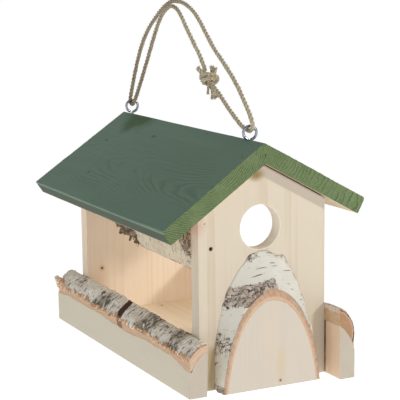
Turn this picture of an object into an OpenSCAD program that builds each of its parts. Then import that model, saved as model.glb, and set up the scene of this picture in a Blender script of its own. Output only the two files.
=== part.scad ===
// Hanging bird feeder: a small open-sided house of pine boards with a green
// gable roof, birch log trims with their bark on, and a hemp rope loop that
// runs through two screw eyes on the ridge.
// X runs across the house, Y along the ridge, Z up. The front is at -Y.
// The origin lies on the bottom plane, under the ridge and midway along the roof.

/* [Roof] */
// Length of the roof boards along the ridge
roof_l = 350; // [340:2:360]
// Height of the ridge above the bottom plane
ridge_z = 246; // [242:1:252]
// Pitch of the left roof board in degrees
pitch_left = 33.5; // [31:0.5:35]
// Pitch of the right roof board in degrees
pitch_right = 29; // [27:0.5:31]
// Width of the left roof board down its slope
slope_left = 139; // [132:1:142]
// Width of the right roof board down its slope
slope_right = 135; // [130:1:140]
// How far the front end of the left board runs out of square at the eave
left_skew = 4; // [0:0.5:6]
// Thickness of the roof boards
roof_t = 16; // [14:0.5:17]

/* [House] */
// Width of the gables and the floor
house_w = 146; // [144:1:148]
// Thickness of the gables and the floor
board_t = 16; // [15:0.5:17]
// Y of the outer face of the front gable
front_y = -170; // [-172:1:-168]
// Y of the outer face of the rear gable
rear_y = 140; // [136:1:144]
// Gap under the roof at the right shoulder of each gable
shoulder_gap = 1; // [0:0.5:2]
// Diameter of the entry hole
hole_d = 46; // [32:1:48]
// Height of the centre of the entry hole
hole_z = 163; // [162:1:165]
// Sideways offset of the entry hole
hole_x = -3; // [-5:1:3]

/* [Log slice on the front] */
// Radius of the birch log, bark included
log_r = 57; // [54:1:58]
// Thickness of the bark and the inner bark
log_bark = 5; // [4:0.5:6]
// Thickness of the slice
slice_t = 20; // [16:1:22]
// Lean of the log's axis from the upright, towards the front
log_lean = 28; // [26:0.5:30]
// Height of the log's axis at the front face of the slice
log_axis_z = -20; // [-24:1:-18]

/* [Tray rails] */
// Thickness of the left rail
rail_left_t = 20; // [18:1:22]
// Height of the left rail at the house
rail_left_in_h = 60; // [57:1:62]
// Height of the left rail at its outer face
rail_left_out_h = 41; // [39:1:43]
// Height of the left rail's wood at the house
rail_left_wood_in_h = 50; // [48:1:51]
// Height of the left rail's wood at its outer face
rail_left_wood_out_h = 33; // [31:1:34]
// Y of the front end of the left rail
rail_left_front = -186; // [-190:1:-180]
// Y of the rear end of the left rail
rail_left_rear = 172; // [165:1:175]
// Thickness of the right rail
rail_right_t = 18; // [16:1:20]
// Height of the right rail at the house
rail_right_in_h = 77; // [74:1:78]
// Height of the right rail at its outer face
rail_right_out_h = 49; // [47:1:51]
// Height of the right rail's wood at the house
rail_right_wood_in_h = 57.5; // [55:0.5:59]
// Height of the right rail's wood at its outer face
rail_right_wood_out_h = 31; // [30:0.5:33]
// Y of the front end of the right rail
rail_right_front = -201; // [-205:1:-195]
// Y of the rear end of the right rail
rail_right_rear = 160; // [150:1:170]

/* [Eave slab] */
// X of the sawn inner face of the slab under the left eave
slab_in_x = -53; // [-55:1:-50]
// X of the furthest point of the slab's bark
slab_out_x = -77; // [-78:1:-76]
// Radius of the log that the slab was sawn from
slab_r = 60; // [55:1:70]
// Thickness of the slab's bark
slab_bark = 4; // [3:0.5:5]

/* [Screw eyes] */
// Diameter of the eye's wire
eye_wire = 3; // [2.8:0.1:3.2]
// Inside diameter of the ring
eye_inner = 10.8; // [10.6:0.1:11.2]
// Height of the ring's centre above the ridge
eye_rise = 9.4; // [9:0.1:10]
// Turn of the ring from square to the ridge, in degrees, anticlockwise from above
eye_turn = -8; // [-8:1:8]
// Length of the screw below the ridge
eye_screw = 17; // [12:1:18]
// Y of the front eye
eye_front_y = -144; // [-145:0.5:-143]
// Y of the rear eye
eye_rear_y = 150; // [149:0.5:151]

/* [Rope] */
// Diameter of the rope
rope_d = 4.8; // [4.4:0.1:4.8]

/* [Hidden] */
$fn = 48;

PINE = "#ead7b8";
BIRCH_WOOD = "#e6d3b4";
BARK = "#c9c4b8";
ROOF_GREEN = "#3f6b4c";
STEEL = "#b9bcc0";
ROPE = "#a08d6f";

half_w = house_w / 2;
front_in = front_y + board_t;
rear_in = rear_y - board_t;
big = 600;
bore_gap = 0.05;

// Underside of each roof board: height at the ridge plane, and the apex below the mitre
under_left = ridge_z - roof_t / cos(pitch_left);
under_right = ridge_z - roof_t / cos(pitch_right);
apex_x = (under_right - under_left) / (tan(pitch_left) + tan(pitch_right));
apex = [apex_x, under_left + apex_x * tan(pitch_left)];
eave_left = [-slope_left * cos(pitch_left), ridge_z - slope_left * sin(pitch_left)];
eave_right = [slope_right * cos(pitch_right), ridge_z - slope_right * sin(pitch_right)];

// Nails: radius of shank, head, and their lengths
nail_r = 1.1;
nail_head_r = 2.2;
nail_head_t = 1;
nail_l = 38;
brad_r = 0.8;
brad_l = 35;
brad_sunk = 1;
screw_r = 1.75;
screw_head_r = 3.5;
screw_l = 28;
pin_l = 20;

// Places of the fasteners
floor_nail_x = [-42, 0, 42];
slab_nail_xz = [[-59, 146], [-66, 172]];
slab_nail_sunk = 2;
roof_nail_s = [30, 66];
gable_mid_y = [front_y + board_t / 2, rear_y - board_t / 2];
brad_gable_z = 22;
brad_floor_y = [-60, 40];
screw_xz = [[-26, 45], [26, 45]];
pin_z = ridge_z - 9.5;

// Rails: top of the bark and of the wood under it, each at the house and at the outer face,
// and the radius of each of those two arcs
rail_left_bark_top = [rail_left_in_h, rail_left_out_h];
rail_left_wood_top = [rail_left_wood_in_h, rail_left_wood_out_h];
rail_right_bark_top = [rail_right_in_h, rail_right_out_h];
rail_right_wood_top = [rail_right_wood_in_h, rail_right_wood_out_h];
rail_left_bark_r = 30;
rail_left_wood_r = 32;
rail_right_bark_r = 29;
rail_right_wood_r = 60;

// Lower edge of the eave slab, front to rear, as [y, z]
slab_edge = [[-154, 122], [-45, 124], [-5, 128], [25, 136], [50, 141], [124, 141]];
slab_top_gap = 0.3;
slab_heart_z = 151;

// Rope: centre of the route's points, from the knot down to the front eye, through it,
// over the top, through the rear eye and back over the top into the knot
rope_x = 2.3;
rope_route = [
    [0, -60, 297.5], [0, -76, 290], [0, -90, 281], [0, -104, 272.5], [0, -118, 265],
    [0, -129, 260], [0, -138, 257.8], [0, -144, 257.6], [0, -148.6, 259.8], [0, -149.6, 264.5],
    [0, -146.5, 270.5], [0, -140, 278.5], [0, -130, 289], [0, -118, 300.5], [0, -104, 311.5],
    [0, -86, 323.5], [0, -66, 336.5], [1, -45, 352], [2, -28, 364.5], [rope_x, -11, 374.5],
    [rope_x, 8, 381], [rope_x, 26, 383], [rope_x, 43, 382], [2, 62, 375], [1, 81, 363],
    [0, 100, 348.5], [0, 117, 331.5], [0, 130, 313], [0, 141, 293.5], [0, 149.5, 276],
    [0, 154.7, 265], [0, 154.6, 259.8], [0, 150, 257.6], [0, 145, 259.6], [0, 140.5, 264.5],
    [0, 134, 272.5], [0, 125, 284], [0, 111, 303.5], [0, 97, 323], [-1, 82, 341.5],
    [-rope_x, 62, 362.5], [-rope_x, 46, 373.5], [-rope_x, 31, 377.8], [-rope_x, 17, 374.5],
    [-rope_x, 6, 366.5], [-2, -8, 352.5], [-1, -22, 338], [0, -34, 325.5], [0, -44, 313.5]
];
rope_sides = 8;
knot_r = 7.5;
knot_l = 26;
knot_at = [0, -52.5, 304];
knot_tilt = -45;
tail_r = 2.2;
tail_ends = [[[0, -50, 305], [5, -49, 322]], [[0, -55, 301], [-4, -60, 283]]];

// Centre of the circle of radius r through p and q, on the side of the log's heart
function arc_centre(p, q, r) =
    let (d = q - p, m = (p + q) / 2, n = [d[1], -d[0]] / norm(d))
    m + n * sqrt(r * r - norm(d) * norm(d) / 4);

// Catmull-Rom point between b and c
function spline_point(a, b, c, d, t) =
    0.5 * (2 * b + (c - a) * t + (2 * a - 5 * b + 4 * c - d) * t * t
        + (3 * b - a - 3 * c + d) * t * t * t);

function route_index(route, i) = route[min(max(i, 0), len(route) - 1)];

// Every point of the route, and further ones between them where they lie far apart
function smooth_route(route, reach) = [
    for (i = [0 : len(route) - 2])
        let (
            a = route_index(route, i - 1),
            b = route[i],
            c = route[i + 1],
            d = route_index(route, i + 2),
            steps = max(1, round(norm(c - b) / reach))
        )
        for (k = [0 : steps - 1]) spline_point(a, b, c, d, k / steps),
    route[len(route) - 1]
];

function unit(v) = v / norm(v);

// Direction of the path at point i
function tangent(path, i) = unit(route_index(path, i + 1) - route_index(path, i - 1));

// Ring of points square to the path at point i; the path never runs along X
function rope_ring(path, i, r) =
    let (t = tangent(path, i), side = unit(cross(t, [1, 0, 0])), front = cross(side, t))
    [for (k = [0 : rope_sides - 1])
        path[i] + r * (cos(360 * k / rope_sides) * front + sin(360 * k / rope_sides) * side)];

// Extrudes an [x, z] outline between two places along Y
module along_y(y0, y1) {
    translate([0, y1, 0])
        rotate([90, 0, 0])
            linear_extrude(y1 - y0)
                children();
}

// Extrudes a [y, z] outline between two places along X
module along_x(x0, x1) {
    translate([x0, 0, 0])
        rotate([90, 0, 90])
            linear_extrude(x1 - x0)
                children();
}

// A nail with its head's top at the origin, pointing down
module nail(gap = 0, sunk = 0) {
    translate([0, 0, -nail_l])
        cylinder(r = nail_r + gap, h = nail_l - sunk);
    translate([0, 0, -sunk - nail_head_t])
        cylinder(r = nail_head_r + gap, h = nail_head_t + (gap > 0 ? sunk + 1 : 0));
}

// A headless brad with its top just under the origin, pointing down
module brad(gap = 0) {
    translate([0, 0, -brad_l])
        cylinder(r = brad_r + gap, h = brad_l + (gap > 0 ? 1 : -brad_sunk));
}

module floor_nail_set(gap = 0) {
    for (x = floor_nail_x) {
        translate([x, front_y, board_t / 2])
            rotate([90, 0, 0])
                nail(gap);
        translate([x, rear_y, board_t / 2])
            rotate([-90, 0, 0])
                nail(gap);
    }
}

module slab_nail_set(gap = 0) {
    for (p = slab_nail_xz) {
        translate([p[0], front_y, p[1]])
            rotate([90, 0, 0])
                nail(gap, slab_nail_sunk);
        translate([p[0], rear_y, p[1]])
            rotate([-90, 0, 0])
                nail(gap, slab_nail_sunk);
    }
}

// side is -1 for the left board and 1 for the right one
module roof_nail_set(side, gap = 0) {
    pitch = side < 0 ? pitch_left : pitch_right;
    for (s = roof_nail_s, y = gable_mid_y)
        translate([side * s * cos(pitch), y, ridge_z - s * sin(pitch)])
            rotate([0, side * pitch, 0])
                nail(gap);
}

module rail_brad_set(side, gap = 0) {
    outer = half_w + (side < 0 ? rail_left_t : rail_right_t);
    for (y = gable_mid_y)
        translate([side * outer, y, brad_gable_z])
            rotate([0, side * 90, 0])
                brad(gap);
    for (y = brad_floor_y)
        translate([side * outer, y, board_t / 2])
            rotate([0, side * 90, 0])
                brad(gap);
}

module slice_screw_set(gap = 0) {
    head_t = screw_head_r - screw_r;
    for (p = screw_xz)
        translate([p[0], front_in, p[1]])
            rotate([90, 0, 0])
                union() {
                    cylinder(r = screw_r + gap, h = screw_l);
                    cylinder(r1 = screw_head_r + gap, r2 = screw_r + gap, h = head_t);
                }
}

module ridge_pin_set(gap = 0) {
    translate([apex_x / 2, -roof_l / 2 + pin_l, pin_z])
        rotate([90, 0, 0])
            cylinder(r = nail_r + gap, h = pin_l + gap);
    translate([apex_x / 2, roof_l / 2 + gap, pin_z])
        rotate([90, 0, 0])
            cylinder(r = nail_r + gap, h = pin_l + gap);
}

module eye_screw_bores() {
    for (y = [eye_front_y, eye_rear_y])
        translate([0, y, ridge_z - eye_screw - bore_gap])
            cylinder(r = eye_wire / 2 + bore_gap, h = eye_screw + 5);
}

module gable_outline() {
    polygon([
        [-half_w, 0],
        [half_w, 0],
        [half_w, under_right - half_w * tan(pitch_right) - shoulder_gap],
        apex,
        [-half_w, under_left - half_w * tan(pitch_left)]
    ]);
}

module gable_bores() {
    floor_nail_set(bore_gap);
    slab_nail_set(bore_gap);
    roof_nail_set(-1, bore_gap);
    roof_nail_set(1, bore_gap);
    rail_brad_set(-1, bore_gap);
    rail_brad_set(1, bore_gap);
}

module floor_board() {
    color(PINE)
        difference() {
            translate([-half_w, front_in, 0])
                cube([house_w, rear_in - front_in, board_t]);
            floor_nail_set(bore_gap);
            rail_brad_set(-1, bore_gap);
            rail_brad_set(1, bore_gap);
        }
}

module front_gable() {
    color(PINE)
        difference() {
            along_y(front_y, front_in)
                gable_outline();
            translate([hole_x, front_y - 1, hole_z])
                rotate([-90, 0, 0])
                    cylinder(d = hole_d, h = board_t + 2);
            gable_bores();
            slice_screw_set(bore_gap);
        }
}

module rear_gable() {
    color(PINE)
        difference() {
            along_y(rear_in, rear_y)
                gable_outline();
            gable_bores();
        }
}

module roof_board_left() {
    run = -eave_left[0];
    color(ROOF_GREEN)
        difference() {
            along_y(-roof_l / 2 - left_skew, roof_l / 2)
                polygon([
                    [0, ridge_z],
                    apex,
                    eave_left + roof_t * [sin(pitch_left), -cos(pitch_left)],
                    eave_left
                ]);
            translate([0, -roof_l / 2, 0])
                rotate([0, 0, atan(left_skew / run)])
                    translate([-big, -big, -1])
                        cube([2 * big, big, big]);
            roof_nail_set(-1, bore_gap);
            ridge_pin_set(bore_gap);
            eye_screw_bores();
        }
}

module roof_board_right() {
    color(ROOF_GREEN)
        difference() {
            along_y(-roof_l / 2, roof_l / 2)
                polygon([
                    [0, ridge_z],
                    eave_right,
                    eave_right + roof_t * [-sin(pitch_right), -cos(pitch_right)],
                    apex
                ]);
            roof_nail_set(1, bore_gap);
            ridge_pin_set(bore_gap);
            eye_screw_bores();
        }
}

// The leaning log that the slice was sawn from, to radius r
module leaning_log(r) {
    translate([0, front_y - slice_t, log_axis_z])
        rotate([-log_lean, 0, 0])
            cylinder(r = r, h = big, center = true, $fn = 96);
}

module slice_block() {
    translate([-log_r - 1, front_y - slice_t, 0])
        cube([2 * log_r + 2, slice_t, big]);
}

module log_slice_core() {
    color(BIRCH_WOOD)
        difference() {
            intersection() {
                slice_block();
                leaning_log(log_r - log_bark);
            }
            slice_screw_set(bore_gap);
        }
}

module log_slice_bark() {
    color(BARK)
        intersection() {
            slice_block();
            difference() {
                leaning_log(log_r);
                leaning_log(log_r - log_bark);
            }
        }
}

// Section of a rail: u runs out from the house, v up; top is the height at u = 0 and u = t
module rail_outline(t, top, r) {
    heart = arc_centre([0, top[0]], [t, top[1]], r);
    intersection() {
        square([t, 2 * top[0]]);
        union() {
            square([t, heart[1]]);
            translate(heart)
                circle(r);
        }
    }
}

// Places a rail section against the side of the house
module rail(side) {
    front = side < 0 ? rail_left_front : rail_right_front;
    rear = side < 0 ? rail_left_rear : rail_right_rear;
    mirror([side < 0 ? 1 : 0, 0, 0])
        translate([half_w, 0, 0])
            along_y(front, rear)
                children();
}

module rail_left_wood() {
    rail_outline(rail_left_t, rail_left_wood_top, rail_left_wood_r);
}

module rail_right_wood() {
    rail_outline(rail_right_t, rail_right_wood_top, rail_right_wood_r);
}

module rail_left_core() {
    color(BIRCH_WOOD)
        difference() {
            rail(-1)
                rail_left_wood();
            rail_brad_set(-1, bore_gap);
        }
}

module rail_left_bark() {
    color(BARK)
        rail(-1)
            difference() {
                rail_outline(rail_left_t, rail_left_bark_top, rail_left_bark_r);
                rail_left_wood();
            }
}

module rail_right_core() {
    color(BIRCH_WOOD)
        difference() {
            rail(1)
                rail_right_wood();
            rail_brad_set(1, bore_gap);
        }
}

module rail_right_bark() {
    color(BARK)
        rail(1)
            difference() {
                rail_outline(rail_right_t, rail_right_bark_top, rail_right_bark_r);
                rail_right_wood();
            }
}

// Eave slab: what the sawn face, the roof, the lower edge and both gables leave of a log
module slab_cut() {
    roof_line = under_left - slab_top_gap;
    intersection() {
        along_y(front_in, rear_in)
            intersection() {
                children();
                polygon([
                    [slab_in_x, 0],
                    [slab_in_x, roof_line + slab_in_x * tan(pitch_left)],
                    [slab_out_x - 5, roof_line + (slab_out_x - 5) * tan(pitch_left)],
                    [slab_out_x - 5, 0]
                ]);
            }
        along_x(slab_out_x - 5, slab_in_x + 1)
            polygon(concat(slab_edge, [[rear_in, big], [front_in, big]]));
    }
}

module slab_log(r) {
    translate([slab_out_x + slab_r, slab_heart_z])
        circle(r, $fn = 96);
}

module eave_slab_core() {
    color(BIRCH_WOOD)
        difference() {
            slab_cut()
                slab_log(slab_r - slab_bark);
            slab_nail_set(bore_gap);
        }
}

module eave_slab_bark() {
    color(BARK)
        slab_cut()
            difference() {
                slab_log(slab_r);
                slab_log(slab_r - slab_bark);
            }
}

module screw_eye(y) {
    mid_r = (eye_inner + eye_wire) / 2;
    color(STEEL)
        translate([0, y, ridge_z])
            union() {
                translate([0, 0, eye_rise])
                    rotate([90, 0, eye_turn])
                        rotate_extrude()
                            translate([mid_r, 0])
                                circle(d = eye_wire);
                translate([0, 0, -eye_screw + eye_wire])
                    cylinder(d = eye_wire, h = eye_screw - eye_wire + eye_rise - mid_r);
                translate([0, 0, -eye_screw])
                    cylinder(d1 = 0.4, d2 = eye_wire, h = eye_wire);
            }
}

module screw_eye_front() {
    screw_eye(eye_front_y);
}

module screw_eye_rear() {
    screw_eye(eye_rear_y);
}

module floor_nails() {
    color(STEEL) floor_nail_set();
}

module slab_nails() {
    color(STEEL) slab_nail_set();
}

module roof_nails_left() {
    color(ROOF_GREEN) roof_nail_set(-1);
}

module roof_nails_right() {
    color(ROOF_GREEN) roof_nail_set(1);
}

module ridge_pins() {
    color(STEEL) ridge_pin_set();
}

module rail_brads_left() {
    color(STEEL) rail_brad_set(-1);
}

module rail_brads_right() {
    color(STEEL) rail_brad_set(1);
}

module slice_screws() {
    color(STEEL) slice_screw_set();
}

module hanging_rope() {
    path = smooth_route(rope_route, 13);
    rings = len(path);
    points = [for (i = [0 : rings - 1]) each rope_ring(path, i, rope_d / 2)];
    start_cap = [[for (k = [rope_sides - 1 : -1 : 0]) k]];
    end_cap = [[for (k = [0 : rope_sides - 1]) (rings - 1) * rope_sides + k]];
    walls = [
        for (i = [0 : rings - 2], k = [0 : rope_sides - 1])
            let (a = i * rope_sides + k, b = i * rope_sides + (k + 1) % rope_sides)
            [a, b, b + rope_sides, a + rope_sides]
    ];
    color(ROPE)
        polyhedron(points, concat(start_cap, walls, end_cap));
}

// A round bar between two points
module bar(p, q, r) {
    d = q - p;
    translate(p)
        rotate([0, acos(d[2] / norm(d)), atan2(d[1], d[0])])
            cylinder(r = r, h = norm(d));
}

module rope_knot() {
    color(ROPE)
        union() {
            translate(knot_at)
                rotate([knot_tilt, 0, 0])
                    rotate_extrude()
                        polygon([
                            [0, -knot_l / 2],
                            [0.6 * knot_r, -knot_l / 2],
                            [knot_r, -knot_l / 4],
                            [knot_r, knot_l / 4],
                            [0.6 * knot_r, knot_l / 2],
                            [0, knot_l / 2]
                        ]);
            for (tail = tail_ends)
                bar(tail[0], tail[1], tail_r);
        }
}

floor_board();
front_gable();
rear_gable();
roof_board_left();
roof_board_right();
log_slice_core();
log_slice_bark();
rail_left_core();
rail_left_bark();
rail_right_core();
rail_right_bark();
eave_slab_core();
eave_slab_bark();
screw_eye_front();
screw_eye_rear();
floor_nails();
slab_nails();
roof_nails_left();
roof_nails_right();
ridge_pins();
rail_brads_left();
rail_brads_right();
slice_screws();
hanging_rope();
rope_knot();
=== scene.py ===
import math

import bmesh
import bpy
import numpy as np
from mathutils import Matrix, Vector


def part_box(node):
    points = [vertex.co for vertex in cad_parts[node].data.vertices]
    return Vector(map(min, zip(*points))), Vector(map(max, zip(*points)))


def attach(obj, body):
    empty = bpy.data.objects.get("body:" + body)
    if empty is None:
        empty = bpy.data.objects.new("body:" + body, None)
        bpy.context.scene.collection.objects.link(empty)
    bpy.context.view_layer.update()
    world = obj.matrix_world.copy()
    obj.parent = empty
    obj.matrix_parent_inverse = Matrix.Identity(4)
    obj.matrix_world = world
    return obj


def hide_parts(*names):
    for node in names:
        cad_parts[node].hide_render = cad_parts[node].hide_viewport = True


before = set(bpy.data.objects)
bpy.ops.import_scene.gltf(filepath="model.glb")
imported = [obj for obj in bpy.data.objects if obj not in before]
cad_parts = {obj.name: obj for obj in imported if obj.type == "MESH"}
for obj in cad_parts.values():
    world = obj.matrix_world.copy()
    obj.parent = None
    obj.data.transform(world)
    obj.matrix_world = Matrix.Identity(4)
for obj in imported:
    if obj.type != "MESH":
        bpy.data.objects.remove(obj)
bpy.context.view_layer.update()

MM = 0.001
rng = np.random.default_rng(11)

# ------------------------------------------------------------------ camera

AIM = Vector((11.37, -6.29, 163.95)) * MM
AZIMUTH = math.radians(-26.55)
ELEVATION = math.radians(10.107)
ROLL = math.radians(-0.672)
DISTANCE = 1.56607
LENS = 126.39


def make_camera():
    """The camera looks at AIM from AZIMUTH and ELEVATION, turned by ROLL about its own axis."""
    back = Vector((
        math.sin(AZIMUTH) * math.cos(ELEVATION),
        -math.cos(AZIMUTH) * math.cos(ELEVATION),
        math.sin(ELEVATION),
    ))
    level = Vector((0, 0, 1)).cross(back).normalized()
    upright = back.cross(level)
    right = level * math.cos(ROLL) + upright * math.sin(ROLL)
    up = -level * math.sin(ROLL) + upright * math.cos(ROLL)
    data = bpy.data.cameras.new("camera")
    data.sensor_width = 36
    data.lens = LENS
    data.clip_end = 200
    camera = bpy.data.objects.new("camera", data)
    turn = Matrix((right, up, back)).transposed().to_4x4()
    camera.matrix_world = Matrix.Translation(AIM + back * DISTANCE) @ turn
    bpy.context.scene.collection.objects.link(camera)
    bpy.context.scene.camera = camera


make_camera()

# ------------------------------------------------------------------ mesh helpers


def hashed(ix, iy, iz, seed):
    """A repeatable number from -1 to 1 for each lattice point."""
    n = (ix * 374761393 + iy * 668265263 + iz * 974634777 + seed * 362437) & 0xFFFFFFFF
    n = ((n ^ (n >> 13)) * 1274126177) & 0xFFFFFFFF
    n = ((n ^ (n >> 16)) * 2246822519) & 0xFFFFFFFF
    return ((n ^ (n >> 15)) & 0xFFFF) / 32767.5 - 1


def lumps(points, size, seed):
    """Smooth noise from -1 to 1 at points, an array (..., 3); size is a length or one for each axis."""
    p = np.asarray(points, float) / np.asarray(size, float)
    low = np.floor(p).astype(np.int64)
    f = p - low
    f = f * f * (3 - 2 * f)
    total = 0
    for dx in (0, 1):
        for dy in (0, 1):
            for dz in (0, 1):
                corner = np.array((dx, dy, dz))
                weight = np.abs(1 - corner - f)
                spot = low + corner
                total = total + weight[..., 0] * weight[..., 1] * weight[..., 2] * hashed(
                    spot[..., 0], spot[..., 1], spot[..., 2], seed)
    return total


def rough(points, size, seed, octaves=3):
    """Noise with finer and finer lumps added."""
    size = np.asarray(size, float)
    return sum(lumps(points, size / 2**k, seed + 17 * k) / 2**k for k in range(octaves))


def stack(*parts):
    """Joins coordinates, arrays or numbers, into one array of points."""
    return np.stack(np.broadcast_arrays(*parts), -1)


def unit(vectors):
    return vectors / np.linalg.norm(vectors, axis=-1, keepdims=True)


def run_along(lines):
    """Distance along a line, or along each of several, from its first point."""
    steps = np.linalg.norm(np.diff(lines, axis=-2), axis=-1)
    return np.concatenate([np.zeros((*steps.shape[:-1], 1)), np.cumsum(steps, -1)], -1)


def hump(points, at, size):
    """A smooth bump, 1 high, at an (x, z) place."""
    x, z = points[..., 0] - at[0], points[..., 2] - at[1]
    return np.exp(-((x / size[0]) ** 2) - (z / size[1]) ** 2)


def smoothstep(low, high, x):
    t = np.clip((x - low) / (high - low), 0, 1)
    return t * t * (3 - 2 * t)


def make_mesh(name, points, faces, materials, indices=None, smooth=True, attributes=None):
    """A mesh object from points in metres; attributes are point values, single or vectors."""
    mesh = bpy.data.meshes.new(name)
    mesh.from_pydata(np.asarray(points, float).reshape(-1, 3).tolist(), [], faces)
    for m in materials:
        mesh.materials.append(m)
    if indices is not None:
        mesh.polygons.foreach_set("material_index", indices)
    mesh.polygons.foreach_set("use_smooth", [smooth] * len(mesh.polygons))
    for key, values in (attributes or {}).items():
        values = np.asarray(values, float)
        vector = values.ndim > 1 and values.shape[-1] == 3
        layer = mesh.attributes.new(key, "FLOAT_VECTOR" if vector else "FLOAT", "POINT")
        layer.data.foreach_set("vector" if vector else "value", values.ravel())
    mesh.update()
    piece = bpy.data.objects.new(name, mesh)
    bpy.context.scene.collection.objects.link(piece)
    return piece


def loft(name, rings, materials, side_index, cap_index, attributes=None, smooth=True):
    """Joins rings, an array (rows, columns, 3), into a closed tube with flat caps.

    side_index gives a material for each column's faces, cap_index one for the caps."""
    rows, columns = rings.shape[:2]
    faces = []
    indices = []
    for i in range(rows - 1):
        low, high = i * columns, (i + 1) * columns
        for j in range(columns):
            k = (j + 1) % columns
            faces.append([low + j, low + k, high + k, high + j])
            indices.append(0 if side_index is None else int(side_index[j]))
    if cap_index is not None:
        faces.append(list(range(columns - 1, -1, -1)))
        faces.append([(rows - 1) * columns + j for j in range(columns)])
        indices += [cap_index, cap_index]
    piece = make_mesh(name, rings, faces, materials, indices, smooth, attributes)
    if cap_index is not None:
        for face in piece.data.polygons[-2:]:
            face.use_smooth = False
    fix_normals(piece)
    return piece


def fix_normals(piece):
    """Turns all faces outwards."""
    work = bmesh.new()
    work.from_mesh(piece.data)
    bmesh.ops.recalc_face_normals(work, faces=work.faces)
    work.to_mesh(piece.data)
    work.free()


def outline(corners, radii, step):
    """Points round a polygon of (x, z) corners, each rounded to its own radius, and each point's side."""
    corners = [np.array(c, float) for c in corners]
    count = len(corners)
    points = []
    sides = []
    for i, here in enumerate(corners):
        before = corners[i - 1]
        after = corners[(i + 1) % count]
        radius = radii[i]
        into = unit(here - before)
        out = unit(after - here)
        for t in (0, 0.33, 0.67, 1):
            a = here - into * radius * (1 - t)
            b = here + out * radius * t
            points.append(a * (1 - t) + b * t)
            sides.append(i)
        length = np.linalg.norm(after - here) - radius - radii[(i + 1) % count]
        parts = max(1, round(length / step))
        for k in range(1, parts):
            points.append(here + out * (radius + length * k / parts))
            sides.append(i)
    return np.array(points), np.array(sides)


# ------------------------------------------------------------------ material helpers


class Value:
    """A number made by nodes. Sums with it make Math nodes."""

    def __init__(self, paint, socket):
        self.paint = paint
        self.socket = socket

    def __add__(self, other):
        return self.paint.math("ADD", self, other)

    def __sub__(self, other):
        return self.paint.math("SUBTRACT", self, other)

    def __rsub__(self, other):
        return self.paint.math("SUBTRACT", other, self)

    def __mul__(self, other):
        return self.paint.math("MULTIPLY", self, other)

    def __truediv__(self, other):
        return self.paint.math("DIVIDE", self, other)

    __radd__ = __add__
    __rmul__ = __mul__


class Paint:
    """Builds one node material. The methods return a Value or, for vectors and colours, a socket."""

    def __init__(self, name):
        self.material = bpy.data.materials.new(name)
        self.material.use_nodes = True
        self.tree = self.material.node_tree
        self.tree.nodes.clear()
        self.color = None

    def put(self, value, socket):
        """Links a value to an input, or sets the input to it."""
        if isinstance(value, Value):
            value = value.socket
        if isinstance(value, bpy.types.NodeSocket):
            self.tree.links.new(value, socket)
        elif socket.type == "RGBA" and len(value) == 3:
            socket.default_value = (*value, 1)
        else:
            socket.default_value = value

    def node(self, kind, inputs=None, **settings):
        """A shader node's outputs."""
        n = self.tree.nodes.new("ShaderNode" + kind)
        for key, value in settings.items():
            setattr(n, key, value)
        for key, value in (inputs or {}).items():
            self.put(value, n.inputs[key])
        return n.outputs

    def value(self, kind, inputs, output=0, **settings):
        return Value(self, self.node(kind, inputs, **settings)[output])

    def math(self, operation, a, b=0.0, clamp=False):
        return self.value("Math", {0: a, 1: b}, operation=operation, use_clamp=clamp)

    def vector_math(self, operation, a, b):
        return self.node("VectorMath", {0: a, 1: b}, operation=operation)[0]

    def place(self, turn=(0, 0, 0)):
        """Object coordinates in metres, turned in degrees."""
        coordinates = self.node("TexCoord")["Object"]
        return self.node("Mapping", {"Vector": coordinates, "Rotation": [math.radians(a) for a in turn]})[0]

    def scaled(self, vector, scale):
        return self.node("Mapping", {"Vector": vector, "Scale": scale})[0]

    def axes(self, vector):
        """A vector's three parts."""
        return [Value(self, socket) for socket in self.node("SeparateXYZ", {0: vector})]

    def off_axis(self, vector, centre):
        """Distance from a line along Y through centre, an (x, z)."""
        x, _, z = self.axes(vector)
        return self.hypot(x - centre[0], z - centre[1])

    def hypot(self, a, b):
        return self.math("SQRT", a * a + b * b)

    def attribute(self, name):
        return self.value("Attribute", None, "Fac", attribute_name=name)

    def attribute_vector(self, name):
        return self.node("Attribute", attribute_name=name)["Vector"]

    def noise(self, vector, scale, detail=3.0, roughness=0.5):
        """Noise from 0 to 1; scale is a number or one for each axis."""
        if isinstance(scale, tuple):
            vector = self.scaled(vector, scale)
            scale = 1.0
        inputs = {"Vector": vector, "Scale": scale, "Detail": detail, "Roughness": roughness}
        return self.value("TexNoise", inputs)

    def ramp(self, value, low, high):
        """0 below low, 1 above high, smooth between."""
        inputs = {"Value": value, "From Min": low, "From Max": high}
        return self.value("MapRange", inputs, interpolation_type="SMOOTHSTEP")

    def mix(self, factor, a, b):
        """Colour a where factor is 0, b where it is 1."""
        return self.node("Mix", {0: factor, 6: a, 7: b}, data_type="RGBA")[2]

    def coat(self, factor, tint):
        """Puts a colour over what is there."""
        self.color = self.mix(factor, self.color, tint)

    def blob(self, place, spot, size, stretch):
        """Distance from a spot, 1 at size times stretch, made a little ragged."""
        offset = self.vector_math("SUBTRACT", place, spot)
        squeezed = self.scaled(offset, [1 / (size * k) for k in stretch])
        away = self.value("VectorMath", {0: squeezed}, "Value", operation="LENGTH")
        return away + (self.noise(place, 0.45 / size) - 0.5) * 0.8

    def bump(self, height, depth):
        """depth is the height, in metres, that a value of 1 stands for."""
        return self.node("Bump", {"Height": height, "Distance": depth, "Strength": 1.0})[0]

    def finish(self, roughness, normal, metallic=0.0, specular=0.3, sheen=0.0):
        shader = self.node("BsdfPrincipled", {
            "Base Color": self.color, "Roughness": roughness, "Normal": normal, "Metallic": metallic,
            "Specular IOR Level": specular, "Sheen Weight": sheen})
        self.node("OutputMaterial", {"Surface": shader[0]})
        return self.material


# ------------------------------------------------------------------ what several pieces share

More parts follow.
